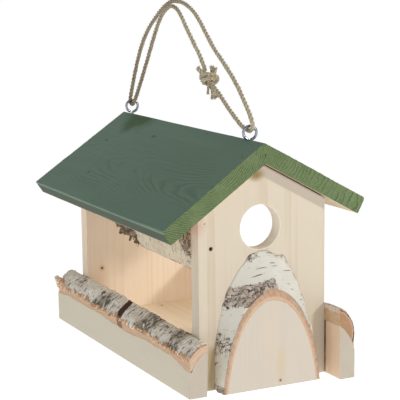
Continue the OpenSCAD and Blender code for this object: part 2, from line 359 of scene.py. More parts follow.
PITCH = {"left": math.radians(33.5), "right": math.radians(29)}
SLOPE = {"left": 0.139, "right": 0.135}
ROOF_THICK = 0.016
LEFT_SKEW = 0.004
ROOF_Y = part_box("roof_board_right")[0][1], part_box("roof_board_right")[1][1]
RIDGE_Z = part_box("roof_board_left")[1][2]
GABLE_TOP = RIDGE_Z - ROOF_THICK / math.cos(PITCH["right"])
PINE_LIGHT = (0.700, 0.612, 0.490)
PINE_DARK = (0.585, 0.460, 0.325)
HALF_W = 0.073
FRONT_Y, FRONT_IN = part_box("front_gable")[0][1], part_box("front_gable")[1][1]
REAR_IN, REAR_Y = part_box("rear_gable")[0][1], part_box("rear_gable")[1][1]
GRAIN_UP = (0, 90, 0)
GRAIN_ALONG = (0, 0, -90)

# ------------------------------------------------------------------ pine boards

# Painted shade under a roof's underside: a dark line in the gap (this dark also colours knot cores) and a
# dull band of painted shadow below it.
GAP_SHADE_AND_KNOT_CORE = (0.12, 0.065, 0.035)
PAINTED_SHADOW_TINT = (0.50, 0.430, 0.350)
SHADOW_BAND_WIDTH = 0.0134
SHADE_GAP_WIDTH = 0.0015
# Painted light on a round hole's cut wall.
PAINTED_HOLE_LIGHT = (0.97, 0.91, 0.80)
KNOT_HALO = (0.50, 0.30, 0.16)


def wood(name, light, dark, turn, heart, spacing=0.0045, wobble=0.012, *, contrast, strips=None,
         knots=(), stains_and_shades=(), eave=None, hole=None):
    """Planed softwood. turn, in degrees, brings the grain to X, and heart is the log's heart there.

    strips is (width, shift) of glued strips. knots are (spot, size), and stains and patches of painted
    shade are (spot, size, stretch, colour, strength), in the part's own frame. eave is (z at x = 0,
    slope) of a roof's underside; below it lie a dark line of painted shade in the gap and a dull band
    of painted shadow. hole is (x, z, radius) of a round hole, whose cut wall gets painted light: a paler
    colour."""
    p = Paint(name)
    own = p.place()
    place = p.place(turn)
    tone = p.noise(place, (4, 22, 22))
    shifted = place
    if strips:
        strip = p.math("FLOOR", (p.axes(place)[1] + strips[1]) / strips[0])
        hop = p.value("TexWhiteNoise", {"W": strip}, "Value", noise_dimensions="1D")
        slide = p.node("CombineXYZ", {1: hop * 0.09, 2: hop * 0.05})[0]
        shifted = p.vector_math("ADD", place, slide)
        tone = tone * 0.55 + hop * 0.45
    bend = (p.noise(shifted, (1.6, 9, 9), 2.0) - 0.5) * wobble
    jitter = (p.noise(shifted, (0.8, 120, 120), 2.0) - 0.5) * 0.011
    _, y, z = p.axes(shifted)
    radius = p.hypot(y - heart[0], z - heart[1])
    across = p.math("FRACT", (radius + (bend + jitter)) / spacing)
    late = p.ramp(across, 0.30, 0.90) * (1 - p.ramp(across, 0.90, 1.0))
    late = late * p.ramp(p.noise(place, (1.5, 60, 60), 2.0), 0.35, 0.65)
    fibre = p.noise(place, (14, 900, 900), 2.0)
    pores = p.noise(place, (60, 2600, 2600), 1.0)
    shade = late * contrast + (tone - 0.45) * 0.9
    shade = p.math("ADD", shade, (fibre - 0.5) * 0.45, clamp=True)
    p.color = p.mix(shade, light, dark)
    # Painted shade under the roof: a dull band of painted shadow, and a dark line of painted shade in the
    # gap nearest the roof.
    if eave:
        x, _, z = p.axes(own)
        under = eave[0] - x * eave[1] - z
        side = p.ramp(x, -0.009, -0.004)
        beyond_shadow = p.ramp(under, SHADOW_BAND_WIDTH - 0.0012, SHADOW_BAND_WIDTH + 0.0012)
        p.coat(side * (0.85 - beyond_shadow * 0.85), PAINTED_SHADOW_TINT)
        gap_shade = 1 - p.ramp(under, SHADE_GAP_WIDTH - 0.0005, SHADE_GAP_WIDTH + 0.0004)
        p.coat(gap_shade * p.ramp(x, -0.002, 0.001), GAP_SHADE_AND_KNOT_CORE)
    # Stains, and patches of painted shade where a list holds them.
    for spot, size, stretch, tint, strength in stains_and_shades:
        away = p.blob(own, spot, size, stretch)
        p.coat((1 - p.ramp(away, 0.2, 1.2)) * strength, tint)
    # Painted light: the round hole's cut wall is painted paler.
    if hole:
        away = p.off_axis(own, hole)
        p.coat((1 - p.ramp(away, hole[2], hole[2] + 0.0004)) * 0.9, PAINTED_HOLE_LIGHT)
    relief = late * 0.6 + (fibre * 0.6 + pores * 0.3)
    for spot, size in knots:
        away = p.blob(own, spot, size, (1, 1, 1))
        p.coat((1 - p.ramp(away, 0.7, 2.4)) * 0.40, KNOT_HALO)
        p.coat(1 - p.ramp(away, 0.45, 0.85), GAP_SHADE_AND_KNOT_CORE)
    return p.finish(0.60 + fibre * 0.2, p.bump(relief, 0.00018), specular=0.2)


APEX_STAIN = ((-0.0075, FRONT_Y, 0.2165), 0.0115, (1.0, 1, 0.75), (0.30, 0.205, 0.085), 1.0)
CORNER_BLUSH = ((-0.072, -0.164, 0.172), 0.012, (0.8, 1.5, 1.2), (0.62, 0.37, 0.29), 0.6)
EDGE_STREAK = ((-0.0620, FRONT_Y, 0.110), 0.006, (0.35, 1, 14), (0.56, 0.45, 0.30), 0.45)
# Painted shade: a dark golden patch in the deep narrow channel between the left rail's front end and the
# log slice.
RAIL_SHADE = [((-0.0600, FRONT_Y, z), 0.0115, (0.62, 1, 1), (0.42, 0.31, 0.14), 0.75)
              for z in (0.002, 0.014, 0.026, 0.038)]
# The front gable carries painted shade under the right roof and in the left rail's channel, and painted
# light in the entry hole.
gable_wood = wood(
    "pine_front_gable", PINE_LIGHT, PINE_DARK, GRAIN_UP, (0.35, 0.09), 0.0055, 0.010,
    strips=(0.050, 0.010), contrast=0.42, stains_and_shades=(APEX_STAIN, CORNER_BLUSH, EDGE_STREAK, *RAIL_SHADE),
    eave=(GABLE_TOP, math.tan(PITCH["right"])), hole=(-0.003, 0.163, 0.0231))
back_wood = wood(
    "pine_rear_gable", (0.86, 0.735, 0.59), (0.72, 0.545, 0.385), GRAIN_UP, (-0.02, 0.30), 0.006, 0.014,
    strips=(0.037, 0.0), contrast=0.30, knots=[((-0.0547, 0.124, 0.0678), 0.0022)],
    stains_and_shades=[((-0.0547, 0.124, 0.060), 0.012, (0.6, 1, 2.0), (0.80, 0.56, 0.42), 0.4)])
floor_wood = wood(
    "pine_floor", (0.82, 0.70, 0.54), (0.68, 0.52, 0.35), GRAIN_ALONG, (0.02, -0.09), 0.006, 0.016,
    contrast=0.35, knots=[((0.017, 0.112, 0.016), 0.0018)])
SAWN_MARKS = [((0.010, -0.190, 0.024), 0.012, (0.55, 1, 1.9), (0.66, 0.52, 0.33), 0.55),
              ((-0.002, -0.190, 0.052), 0.030, (0.5, 1, 1.5), (0.72, 0.60, 0.44), 0.30)]
sawn_birch = wood(
    "birch_sawn_face", (0.655, 0.580, 0.495), (0.590, 0.505, 0.412), GRAIN_UP, (0.0, 0.25), 0.004, 0.02,
    contrast=0.06, knots=[((0.009, -0.190, 0.006), 0.0016)], stains_and_shades=SAWN_MARKS)
# Painted shade: a thin dark line on the right rail's inner face where it meets the front gable.
RAIL_GAP_SHADE = ((0.0730, -0.1718, 0.035), 0.005, (1, 0.50, 10), (0.10, 0.045, 0.03), 1.0)
# The right rail's wood is warmer than the left's: partly its own tone and partly painted warm bounce light
# on its inner face, which lies in the gable's shade.
warm_bounce_wood = wood(
    "birch_rail_wood_warm_bounce", (0.80, 0.60, 0.43), (0.68, 0.48, 0.31), GRAIN_ALONG, (0.04, -0.11), 0.004,
    contrast=0.10, stains_and_shades=[RAIL_GAP_SHADE])
rail_wood = wood(
    "birch_rail_wood", (0.70, 0.635, 0.51), (0.57, 0.49, 0.37), GRAIN_ALONG, (0.04, -0.11), 0.004,
    contrast=0.10)
end_wood = wood(
    "birch_end_grain", (0.545, 0.475, 0.390), (0.470, 0.375, 0.285), GRAIN_ALONG, (0.03, -0.03), 0.0035,
    0.004, contrast=0.15)


def dress(node, material):
    """Gives a CAD node its material."""
    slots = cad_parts[node].data.materials
    slots.clear()
    slots.append(material)


dress("front_gable", gable_wood)
dress("rear_gable", back_wood)
dress("floor_board", floor_wood)
dress("log_slice_core", sawn_birch)
dress("eave_slab_core", sawn_birch)
for name in ("rail_left_core", "rail_right_core"):
    dress(name, rail_wood)

# ------------------------------------------------------------------ green roof

RAISED_RING = 0.0026
END_RING = 0.0023
FRONT_RISE = 0.0024


def roof_apex():
    """Where the undersides of the two boards meet, as (x, z)."""
    left = RIDGE_Z - ROOF_THICK / math.cos(PITCH["left"])
    x = (GABLE_TOP - left) / (math.tan(PITCH["left"]) + math.tan(PITCH["right"]))
    return x, left + x * math.tan(PITCH["left"])


def roof_relief(s, y, heart_s, heart_depth, tilt):
    """Raised growth rings of a flat-sawn board, from -1 to 1.

    The log's heart runs over the board at heart_s, heart_depth above it, and dips by tilt along y."""
    flat = stack(0, y, 0)
    drift = 0.007 * lumps(flat, 0.13, 5) + 0.0012 * lumps(flat, 0.040, 6)
    depth = heart_depth + tilt * y
    radius = np.sqrt((s - heart_s - drift) ** 2 + depth**2)
    radius = radius + 0.0011 * rough(stack(s, y * 0.28, 0), 0.013, 9)
    return np.cos(2 * math.pi * radius / RAISED_RING)


def roof_green(name):
    """Matt blue-green wood stain over planed pine."""
    p = Paint(name)
    place = p.place(GRAIN_ALONG)
    groove = p.attribute("relief")
    blotch = p.attribute("blotch")
    worn = p.attribute("worn")
    cloud = p.noise(place, (5, 14, 14), 4.0)
    fibre = p.noise(place, (12, 700, 700), 2.0)
    speck = p.ramp(p.noise(place, (40, 110, 110), 1.0), 0.745, 0.785)
    p.color = p.mix(cloud, (0.156, 0.248, 0.180), (0.202, 0.302, 0.226))
    along = p.axes(p.place())[1]
    p.coat(p.ramp(along, -0.16, 0.16) * 0.55, (0.236, 0.340, 0.262))
    p.coat(p.ramp(groove, 0.10, 0.8) * 0.26, (0.215, 0.335, 0.205))
    p.coat(p.ramp(groove, -0.10, -0.8) * 0.34, (0.105, 0.178, 0.132))
    p.coat(p.ramp(fibre, 0.45, 0.7) * 0.22, (0.116, 0.200, 0.147))
    p.coat(speck * 0.5, (0.035, 0.060, 0.040))
    p.coat(blotch * 0.8, (0.078, 0.145, 0.058))
    p.coat(p.attribute("eave") * 0.92, (0.046, 0.064, 0.038))
    p.coat(worn * 0.20, (0.22, 0.33, 0.22))
    height = fibre * 0.5 + p.noise(place, 900.0, 2.0) * 0.2
    return p.finish(0.55 + cloud * 0.14, p.bump(height, 0.00014), specular=0.2)


def roof_end(name, heart, phase_of, line, contrast, uneven):
    """Stained end grain: lighter and yellower than the top, with the growth rings showing.

    heart is the log's heart as (x, z); phase_of turns the distance from it into a number of rings."""
    p = Paint(name)
    place = p.place()
    radius = p.off_axis(place, heart)
    bend = (p.noise(place, 110.0) - 0.5) * 0.0042
    drift = (p.noise(place, 55.0, 2.0) - 0.5) * uneven
    across = p.math("FRACT", phase_of(p, radius + bend) + drift)
    late = p.ramp(across, 1 - line, 1 - line * 0.35) * (1 - p.ramp(across, 0.965, 1.0))
    late = late * p.ramp(p.noise(place, 60.0, 2.0), 0.25, 0.55)
    fine = p.noise(place, 1400.0, 2.0)
    cloud = p.noise(place, 38.0, 4.0)
    p.color = p.mix(cloud, (0.112, 0.170, 0.066), (0.190, 0.245, 0.118))
    pale = p.ramp(across, 0.0, 0.18) * (1 - p.ramp(across, 0.18, 0.5))
    p.coat(pale * 0.16, (0.27, 0.33, 0.19))
    p.coat(p.ramp(p.noise(place, 260.0), 0.50, 0.68) * 0.35, (0.105, 0.150, 0.062))
    p.coat(late * contrast, (0.048, 0.092, 0.042))
    p.coat(p.ramp(p.noise(place, 620.0, 2.0), 0.60, 0.70) * 0.35, (0.30, 0.36, 0.21))
    height = late * -1.2 + fine * 0.6
    return p.finish(0.75, p.bump(height, 0.0004), specular=0.15)


def even_rings(p, radius):
    return radius / END_RING


def widening_rings(p, radius):
    """Rings that get wider away from the heart, each 5.5 % of the distance."""
    return p.math("LOGARITHM", radius * 100.0, math.e) / 0.055


def roof_board(side, heart, clear, end_material):
    """One roof board as a loft along Y, with its grain raised on the top."""
    sign = -1 if side == "left" else 1
    pitch = PITCH[side]
    down = np.array([sign * math.cos(pitch), -math.sin(pitch)])
    normal = np.array([sign * math.sin(pitch), math.cos(pitch)])
    ridge = np.array([0, RIDGE_Z])
    eave = ridge + down * SLOPE[side]
    corners = [ridge, eave, eave - normal * ROOF_THICK, np.array(roof_apex())]
    section, sides = outline(corners, (0.0004, 0.0014, 0.0008, 0.0001), 0.0011)
    front, rear = ROOF_Y
    length = rear - front
    stations = np.array([front, *np.linspace(front + 0.0006, rear - 0.0006, 240), rear])
    s = (section - ridge) @ down
    depth = (section - ridge) @ normal
    top = smoothstep(-0.0016, -0.0002, depth)
    grid_s = np.broadcast_to(s, (len(stations), len(s)))
    grid_y = np.broadcast_to(stations[:, None], grid_s.shape).copy()
    if side == "left":
        share = 1 - (grid_y - front) / length
        grid_y -= LEFT_SKEW * np.clip(grid_s / SLOPE[side], 0, 1) * np.clip(share * 8 - 7, 0, 1)
    flat = stack(grid_s, grid_y, 0)
    strength = smoothstep(clear - 0.018, clear + 0.010, grid_s + 0.012 * rough(flat, (0.03, 0.06, 1), 12))
    strength = (0.10 + 0.90 * strength) * np.clip(0.55 + 0.55 * rough(flat, (0.022, 0.06, 1), 13), 0.08, 1)
    relief = roof_relief(grid_s, grid_y, *heart) * strength
    lift = top * (0.00022 * relief + 0.00022 + 0.0002 * rough(flat, (0.05, 0.12, 1), 14))
    edge = stack(0, grid_y, depth)
    mitre = smoothstep(0.0, 0.004, np.abs(section[:, 0])) if side == "left" else 1
    lift = lift + (1 - top) * mitre * (-0.00012 + 0.00012 * lumps(edge, (0.01, 0.02, 0.004), 31))
    outward = section_normals(section)
    x = section[:, 0] + lift * outward[:, 0]
    z = section[:, 1] + lift * outward[:, 1]
    low = smoothstep(0.010, 0.024, grid_s)
    front_share = (1 - low) * (rear - grid_y) / length + low * smoothstep(-0.085, -0.150, grid_y)
    less = 0 if side == "right" else 0.0014 * np.clip(grid_s / SLOPE[side], 0, 1)
    z = z + top * front_share * (FRONT_RISE - less)
    points = stack(x, grid_y, z)
    blotch = np.zeros_like(grid_s)
    if side == "left":
        spot = np.hypot((grid_y - 0.119) / 0.034, (grid_s - 0.006) / 0.022)
        blotch = smoothstep(1.25, 0.3, spot + 0.35 * rough(flat, 0.02, 3))
    underside = (sides == 2).astype(int)
    depths = np.broadcast_to(depth, grid_s.shape)
    worn = smoothstep(0.0012, 0.0, np.abs(depths + 0.0012)) * (grid_s > SLOPE[side] - 0.003)
    names = {
        "eave": (sides == 1) * smoothstep(-0.0008, -0.0035, depths), "relief": relief * top,
        "blotch": blotch * top, "worn": worn * (0.6 + 0.4 * rough(flat, (1, 0.02, 1), 15))}
    piece = loft(f"roof_{side}_stained", points, [roof_top_green, raw_underside, end_material],
                 underside, 2, names)
    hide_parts(f"roof_board_{side}")
    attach(piece, "house")
    return piece


def section_normals(section):
    """Outward normals of a closed outline of (x, z) points."""
    along = unit(np.roll(section, -1, 0) - np.roll(section, 1, 0))
    normal = stack(along[:, 1], -along[:, 0])
    area = np.sum(section[:, 0] * np.roll(section[:, 1], -1) - np.roll(section[:, 0], -1) * section[:, 1])
    return normal if area > 0 else -normal


roof_top_green = roof_green("roof_stain")
OVERSPILL = ((0.034, -0.194, 0.207), 0.022, (2.3, 1.0, 1.4), (0.20, 0.135, 0.085), 0.9)
raw_underside = wood(
    "roof_underside", (0.72, 0.60, 0.43), (0.58, 0.44, 0.28), GRAIN_ALONG, (0.0, 0.12), contrast=0.30,
    stains_and_shades=[OVERSPILL])
end_left = roof_end("roof_end_left", (-0.075, 0.258), even_rings, 0.42, 0.60, 1.2)
end_right = roof_end("roof_end_right", (-0.026, 0.256), widening_rings, 0.17, 0.80, 1.6)
roof_board("left", (0.078, 0.040, 0.085), 0.052, end_left)
roof_board("right", (0.060, 0.050, -0.045), 0.020, end_right)

# ------------------------------------------------------------------ birch bark


def contour(p, vector, scale, width, detail):
    """Thin wandering lines: 1 where a noise crosses its middle."""
    n = p.math("ABSOLUTE", p.noise(vector, scale, detail) - 0.5)
    return 1 - p.ramp(n, width * 0.4, width)


def bark(name, pale, grey, flesh, scab_tones, dashes, streaks, flecks):
    """Birch bark. The mesh gives grain = (along the log, round it, 0) in metres, and peel, patch,
    stripe, edge and bare.

    pale and grey are the skin, flesh the two tones of the torn inner bark and scab_tones the three
    of a cracked patch, None where a patch is only denser lines. dashes is how many lenticels
    show, streaks how much the skin is lined across and flecks how spotted the inner bark is."""
    p = Paint(name)
    grain = p.attribute_vector("grain")
    peel = p.attribute("peel")
    patch = p.attribute("patch")
    cloud = p.noise(grain, (55, 25, 1), 4.0)
    p.color = p.mix(cloud, pale, grey)
    warp = (p.noise(grain, (90, 60, 1), 2.0) - 0.5) * 0.0035
    bent = p.vector_math("ADD", grain, p.node("CombineXYZ", {0: warp})[0])
    dense = patch * (0.0 if scab_tones else 0.13)
    line = p.noise(bent, (300, 105, 1), 3.0, 0.6)
    fine = p.noise(bent, (620, 230, 1), 2.0, 0.6)
    lines = p.ramp(line + dense, 0.570, 0.640)
    fines = p.ramp(fine + dense, 0.540, 0.660)
    smudge = p.math("MULTIPLY", dense * 6.0, p.ramp(cloud, 0.35, 0.6), clamp=True)
    p.coat(smudge * (0.85 * streaks), (0.36, 0.305, 0.225))
    p.coat(fines * (0.60 * streaks), (0.34, 0.29, 0.22))
    p.coat(lines * (0.90 * streaks), (0.140, 0.118, 0.086))
    dash = p.ramp(p.noise(grain, (420, 52, 1), 1.0, 0.3), 0.685, 0.720) * dashes
    p.coat(dash, (0.20, 0.18, 0.135))
    ragged = patch + (p.noise(grain, (330, 150, 1), 4.0) - 0.5) * 1.6
    fine_cracks = contour(p, grain, (170, 90, 1), 0.022, 4.0)
    crack = p.math("MAXIMUM", fine_cracks, contour(p, grain, (90, 120, 1), 0.014, 3.0))
    if scab_tones:
        tone = p.noise(grain, (240, 130, 1), 4.0)
        scab = p.mix(p.ramp(tone, 0.35, 0.65), scab_tones[0], scab_tones[1])
        scab = p.mix(p.ramp(p.noise(grain, (60, 60, 1), 2.0), 0.45, 0.62) * 0.6, scab, scab_tones[2])
        p.coat(p.ramp(ragged, 0.35, 0.75) * 0.9, scab)
        p.coat(crack * p.ramp(ragged, 0.10, 0.45), (0.075, 0.058, 0.046))
    torn = p.mix(p.ramp(p.noise(grain, (190, 300, 300), 4.0), 0.40, 0.60), flesh[0], flesh[1])
    spots = p.ramp(p.noise(grain, (330, 420, 1), 2.0), 0.57, 0.66)
    torn = p.mix(spots * flecks, torn, (0.36, 0.15, 0.075))
    p.coat(p.ramp(peel, 0.35, 0.65), torn)
    bare = p.mix(p.noise(grain, (45, 160, 1)), (0.63, 0.42, 0.255), (0.70, 0.50, 0.37))
    p.coat(p.ramp(p.attribute("bare"), 0.35, 0.65), bare)
    maroon = p.mix(p.noise(grain, (500, 60, 1), 2.0), (0.055, 0.026, 0.024), (0.105, 0.062, 0.052))
    p.coat(p.ramp(p.attribute("stripe"), 0.4, 0.6) * (1 - peel * 0.35), maroon)
    p.coat(p.attribute("edge") * 0.8, (0.20, 0.095, 0.055))
    height = lines * (-0.35 * streaks) + fine * -0.25 + dash * -0.25 - crack * (patch * 0.9)
    return p.finish(0.75, p.bump(height, 0.0006), specular=0.15)


BROWN_RING = ((0.49, 0.315, 0.210), (0.565, 0.385, 0.265))
PEACH = ((0.62, 0.36, 0.19), (0.84, 0.62, 0.43))
TAN = ((0.60, 0.405, 0.245), (0.66, 0.46, 0.29))
DARK_BROWN = ((0.40, 0.26, 0.15), (0.58, 0.40, 0.25))
WHITE_SCAB = ((0.40, 0.335, 0.285), (0.62, 0.535, 0.46), (0.36, 0.24, 0.18))
TAN_SCAB = ((0.15, 0.10, 0.060), (0.34, 0.24, 0.15), (0.20, 0.11, 0.07))
white_bark = bark("bark_white", (0.80, 0.78, 0.70), (0.73, 0.70, 0.62), BROWN_RING, WHITE_SCAB, 0.85, 0.04,
                  0.15)
grey_bark = bark("bark_grey", (0.95, 0.92, 0.85), (0.84, 0.76, 0.64), PEACH, None, 0.2, 1.0, 0.75)
brown_bark = bark("bark_brown", (0.82, 0.72, 0.63), (0.66, 0.52, 0.44), TAN, None, 0.2, 0.8, 0.05)
tan_bark = bark("bark_tan", (0.78, 0.68, 0.53), (0.60, 0.51, 0.37), DARK_BROWN, TAN_SCAB, 0.3, 0.60, 0.3)

# ------------------------------------------------------------------ log slice on the front

LOG_R = 0.057
LOG_LEAN = math.radians(28)
LOG_AXIS_Z = -0.020
# Radii of the bark's sawn face, from the wood outwards.
FACE_RADII = (0.0518, 0.0530, 0.0541, 0.0552, 0.0560, 0.0566)
# Bumps in the bark as ((x, z), (width, height)).
FLAKE = (0.024, 0.128), (0.009, 0.006)
BURL = (-0.017, 0.1345), (0.009, 0.0035)
WARTS = ((0.053, 0.055), (0.006, 0.004)), ((0.055, 0.041), (0.006, 0.003))
SLICE_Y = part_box("log_slice_core")[0][1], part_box("log_slice_core")[1][1]


def slice_bark():
    """The slice's bark: a loft round the leaning log, cut off level at its foot.

    Each ring goes over the sawn face outwards, along the bark and back at the gable."""
    reach = np.linspace(-1, 1, 240)
    front, back = SLICE_Y
    loop = [(front + 0.0001 * k, r, 1.0) for k, r in enumerate(FACE_RADII)]
    loop += [(front + 0.0004 + (back - front - 0.0004) * k / 22, LOG_R, 0.0) for k in range(23)]
    loop += [(back, FACE_RADII[0], 1.0)]
    y, r, face = (np.array(v) + 0 * reach[:, None] for v in zip(*loop))

    def place(y, r):
        rise = (y - front) * math.cos(LOG_LEAN)
        foot = np.arccos(np.clip((-LOG_AXIS_Z * math.sin(LOG_LEAN) - rise) / r, -1, 1))
        phi = reach[:, None] * foot
        z = LOG_AXIS_Z + (rise + r * np.cos(phi)) / math.sin(LOG_LEAN)
        return phi, stack(r * np.sin(phi), y, z)

    phi, points = place(y, r)
    x, z = points[..., 0], points[..., 2]
    along = (points[..., 1] - front) * math.sin(LOG_LEAN) + (z - LOG_AXIS_Z) * math.cos(LOG_LEAN)
    grain = stack(along, LOG_R * phi, 0)
    # Cracked patches: the large slanting one at the left, a small one below it and the left foot.
    middle = 0.094 + 0.23 * (x + 0.050)
    width = 0.0125 - 0.125 * (x + 0.050)
    spot = np.maximum(np.abs(z - middle) / width, (x - 0.002) / 0.007 + 0.3)
    patch = smoothstep(1.25, 0.75, spot + 0.28 * rough(grain, 0.012, 21))
    low = np.hypot((x + 0.054) / 0.010, (z - 0.049) / 0.012)
    patch = np.maximum(patch, 0.50 * smoothstep(1.3, 0.5, low + 0.3 * rough(grain, 0.010, 24)))
    patch = np.maximum(patch, smoothstep(0.010, 0.002, z) * smoothstep(-0.03, -0.05, x))
    skin = 0.0007 * rough(grain, (0.030, 0.018, 1), 22) - 0.0006
    skin = skin + patch * (0.0010 * rough(grain, 0.006, 23) + 0.0004)
    burl = hump(points, *BURL)
    warts = hump(points, *WARTS[0]) + hump(points, *WARTS[1])
    skin = skin + 0.0022 * hump(points, *FLAKE) + 0.0018 * burl + 0.0016 * warts
    skin = skin + 0.0008 * smoothstep(0.032, 0.044, x) * rough(grain, (0.007, 0.005, 1), 30)
    on_skin = (face < 0.5) & (y > front + 0.0002)
    r = r + np.where(on_skin, skin, 0)
    on_face = (face > 0.5) & (r > 0.0525) & (r < 0.0565)
    r = r + np.where(on_face, 0.00008 * lumps(grain, 0.004, 27), 0)
    _, points = place(y, r)
    ragged = 0.0004 * np.maximum(0, rough(grain, (1, 0.004, 1), 25))
    points[..., 1] += np.where((face > 0.5) & (y < back), ragged, 0)
    rim = smoothstep(-0.2, 0.5, rough(grain, (1, 0.005, 1), 28))
    edge = 0.15 * smoothstep(0.0545, 0.0566, r) + 0.60 * rim * (r > 0.0562)
    edge = np.where(y < front + 0.0010, edge, 0.0)
    bare = np.where(face > 0.5, 0.75 * smoothstep(0.0560, 0.0522, r) * (y < back), 0.0)
    hem = smoothstep(back - 0.0030, back - 0.0008, points[..., 1]) * smoothstep(0.006, 0.014, x)
    hem = hem * (face < 0.5) * smoothstep(-0.25, 0.25, rough(grain, (0.006, 0.003, 1), 29))
    piece = loft("slice_bark", points, [white_bark, flesh_end], None, 1, {
        "grain": grain, "peel": face, "patch": np.maximum(patch, 0.8 * burl) * (1 - face),
        "stripe": 0 * phi, "edge": edge + 0.9 * hem, "bare": bare})
    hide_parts("log_slice_bark")
    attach(piece, "house")


RIM_RINGS = (
    (-0.0034, -0.0022, (0.58, 0.36, 0.25)), (-0.0018, -0.0009, (0.17, 0.09, 0.065)),
    (0.0004, 0.0010, (0.52, 0.42, 0.35)))


def flesh(name, dark, light, flecks, rim=None):
    """Orange inner bark where it is sawn across; flecks is how spotted it is.

    rim is (x, z, radius) of a log whose outside is pinker, with a dark line and a pale one."""
    p = Paint(name)
    place = p.place()
    layer = p.noise(place, (200, 40, 260), 4.0)
    p.color = p.mix(layer, dark, light)
    p.coat(p.ramp(p.noise(place, 500.0, 2.0), 0.55, 0.75) * flecks, (0.38, 0.19, 0.10))
    if rim:
        out = p.off_axis(place, rim) + (p.noise(place, 260.0) - 0.5) * 0.0028
        for low, high, tint in RIM_RINGS:
            p.coat(p.ramp(out, rim[2] + low, rim[2] + high), tint)
    return p.finish(0.8, p.bump(layer, 0.0004), specular=0.15)


flesh_end = flesh("inner_bark_sawn", (0.54, 0.335, 0.20), (0.72, 0.52, 0.355), 0.4)
pink_end = flesh("inner_bark_sawn_pink", (0.62, 0.42, 0.285), (0.70, 0.52, 0.395), 0.15)
slice_bark()

# ------------------------------------------------------------------ rails with their bark on

ARRIS_R = 0.0005
# Points up the outer face, over the top and down the house side.
SECTION_PARTS = (12, 34, 14)
# How far the left rail's top is below its usual height, at four places along Y.
LEFT_DROP = ((-0.186, -0.089, 0.037, 0.172), (0.0060, 0.0042, 0.0014, 0.0018))


def arc_heart(inner, outer, r):
    """Centre of the circle of radius r through two (u, v) points, on the heart's side."""
    p, q = np.array(inner, float), np.array(outer, float)
    d = q - p
    return (p + q) / 2 + unit(np.array([d[1], -d[0]])) * math.sqrt(r * r - d @ d / 4)


def rail_section(t, tops, r, low):
    """Rail bark's outline as (u, v) points: up the outer face, over the top, down the house side.

    low is the height where the bark starts on the outer face."""
    inner, outer = (0, tops[0]), (t, tops[1])
    heart = arc_heart(inner, outer, r)
    a0 = math.atan2(outer[1] - heart[1], outer[0] - heart[0])
    a1 = math.atan2(inner[1] - heart[1], inner[0] - heart[0])
    up_points, over_points, down_points = SECTION_PARTS
    up = stack(t, np.linspace(low, outer[1], up_points, endpoint=False))
    angle = np.linspace(a0, a1, over_points)
    over = heart + r * stack(np.cos(angle), np.sin(angle))
    down = stack(0, np.linspace(inner[1], tops[2], down_points + 1)[1:])
    return np.concatenate([up, over, down])


def flakes(name, spots, material, stands_with, darkness=0.0):
    """Torn papery bits of bark. Each spot is (place, way, out, length, width, curl): the flake starts
    at place, runs along way and curls outwards by curl radians."""
    points, faces, grains, peels = [], [], [], []
    rows, columns, thick = 6, 4, 0.00028
    last = columns - 1
    for place, way, out, length, width, curl in spots:
        out = unit(np.asarray(out, float))
        way = np.asarray(way, float)
        way = unit(way - out * (way @ out))
        side = np.cross(way, out)
        start = len(points)
        bumps = rng.uniform(0.70, 1.30, (2, rows))
        torn_through = rng.random() < 0.85
        for layer in (0, 1):
            for i in range(rows):
                t = i / (rows - 1)
                a = curl * t
                forward = length * (math.sin(a) / curl if curl > 0.01 else t)
                lift = length * ((1 - math.cos(a)) / curl if curl > 0.01 else 0)
                normal = math.cos(a) * out - math.sin(a) * way
                middle = place + way * (forward - 0.0008) + out * (lift + 0.0001)
                for k in range(columns):
                    across = (k / last - 0.5) * width * (1 - 0.55 * t * t) * bumps[int(k > 1), i]
                    points.append(middle + side * across + normal * thick * (1 - layer))
                    grains.append((place[1] + across, place[2] + t * length, 0))
                    peels.append(1.0 if torn_through else float(layer))

        def quad(*corners):
            faces.append([start + (layer * rows + i) * columns + k for layer, i, k in corners])

        for i in range(rows - 1):
            for k in range(last):
                quad((0, i, k), (0, i, k + 1), (0, i + 1, k + 1), (0, i + 1, k))
                quad((1, i + 1, k), (1, i + 1, k + 1), (1, i, k + 1), (1, i, k))
            quad((0, i + 1, 0), (1, i + 1, 0), (1, i, 0), (0, i, 0))
            quad((0, i, last), (1, i, last), (1, i + 1, last), (0, i + 1, last))
        end = rows - 1
        for k in range(last):
            quad((0, 0, k), (1, 0, k), (1, 0, k + 1), (0, 0, k + 1))
            quad((0, end, k + 1), (1, end, k + 1), (1, end, k), (0, end, k))
    nothing = np.zeros(len(points))
    piece = make_mesh(name, points, faces, [material], attributes={
        "grain": grains, "peel": np.array(peels) * (1 - darkness), "patch": nothing + darkness,
        "stripe": nothing, "edge": nothing, "bare": nothing})
    fix_normals(piece)
    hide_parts(stands_with)
    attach(piece, "house")


def with_last(values):
    """Repeats the last column, for a closing point."""
    return np.concatenate([values, values[:, -1:]], 1)


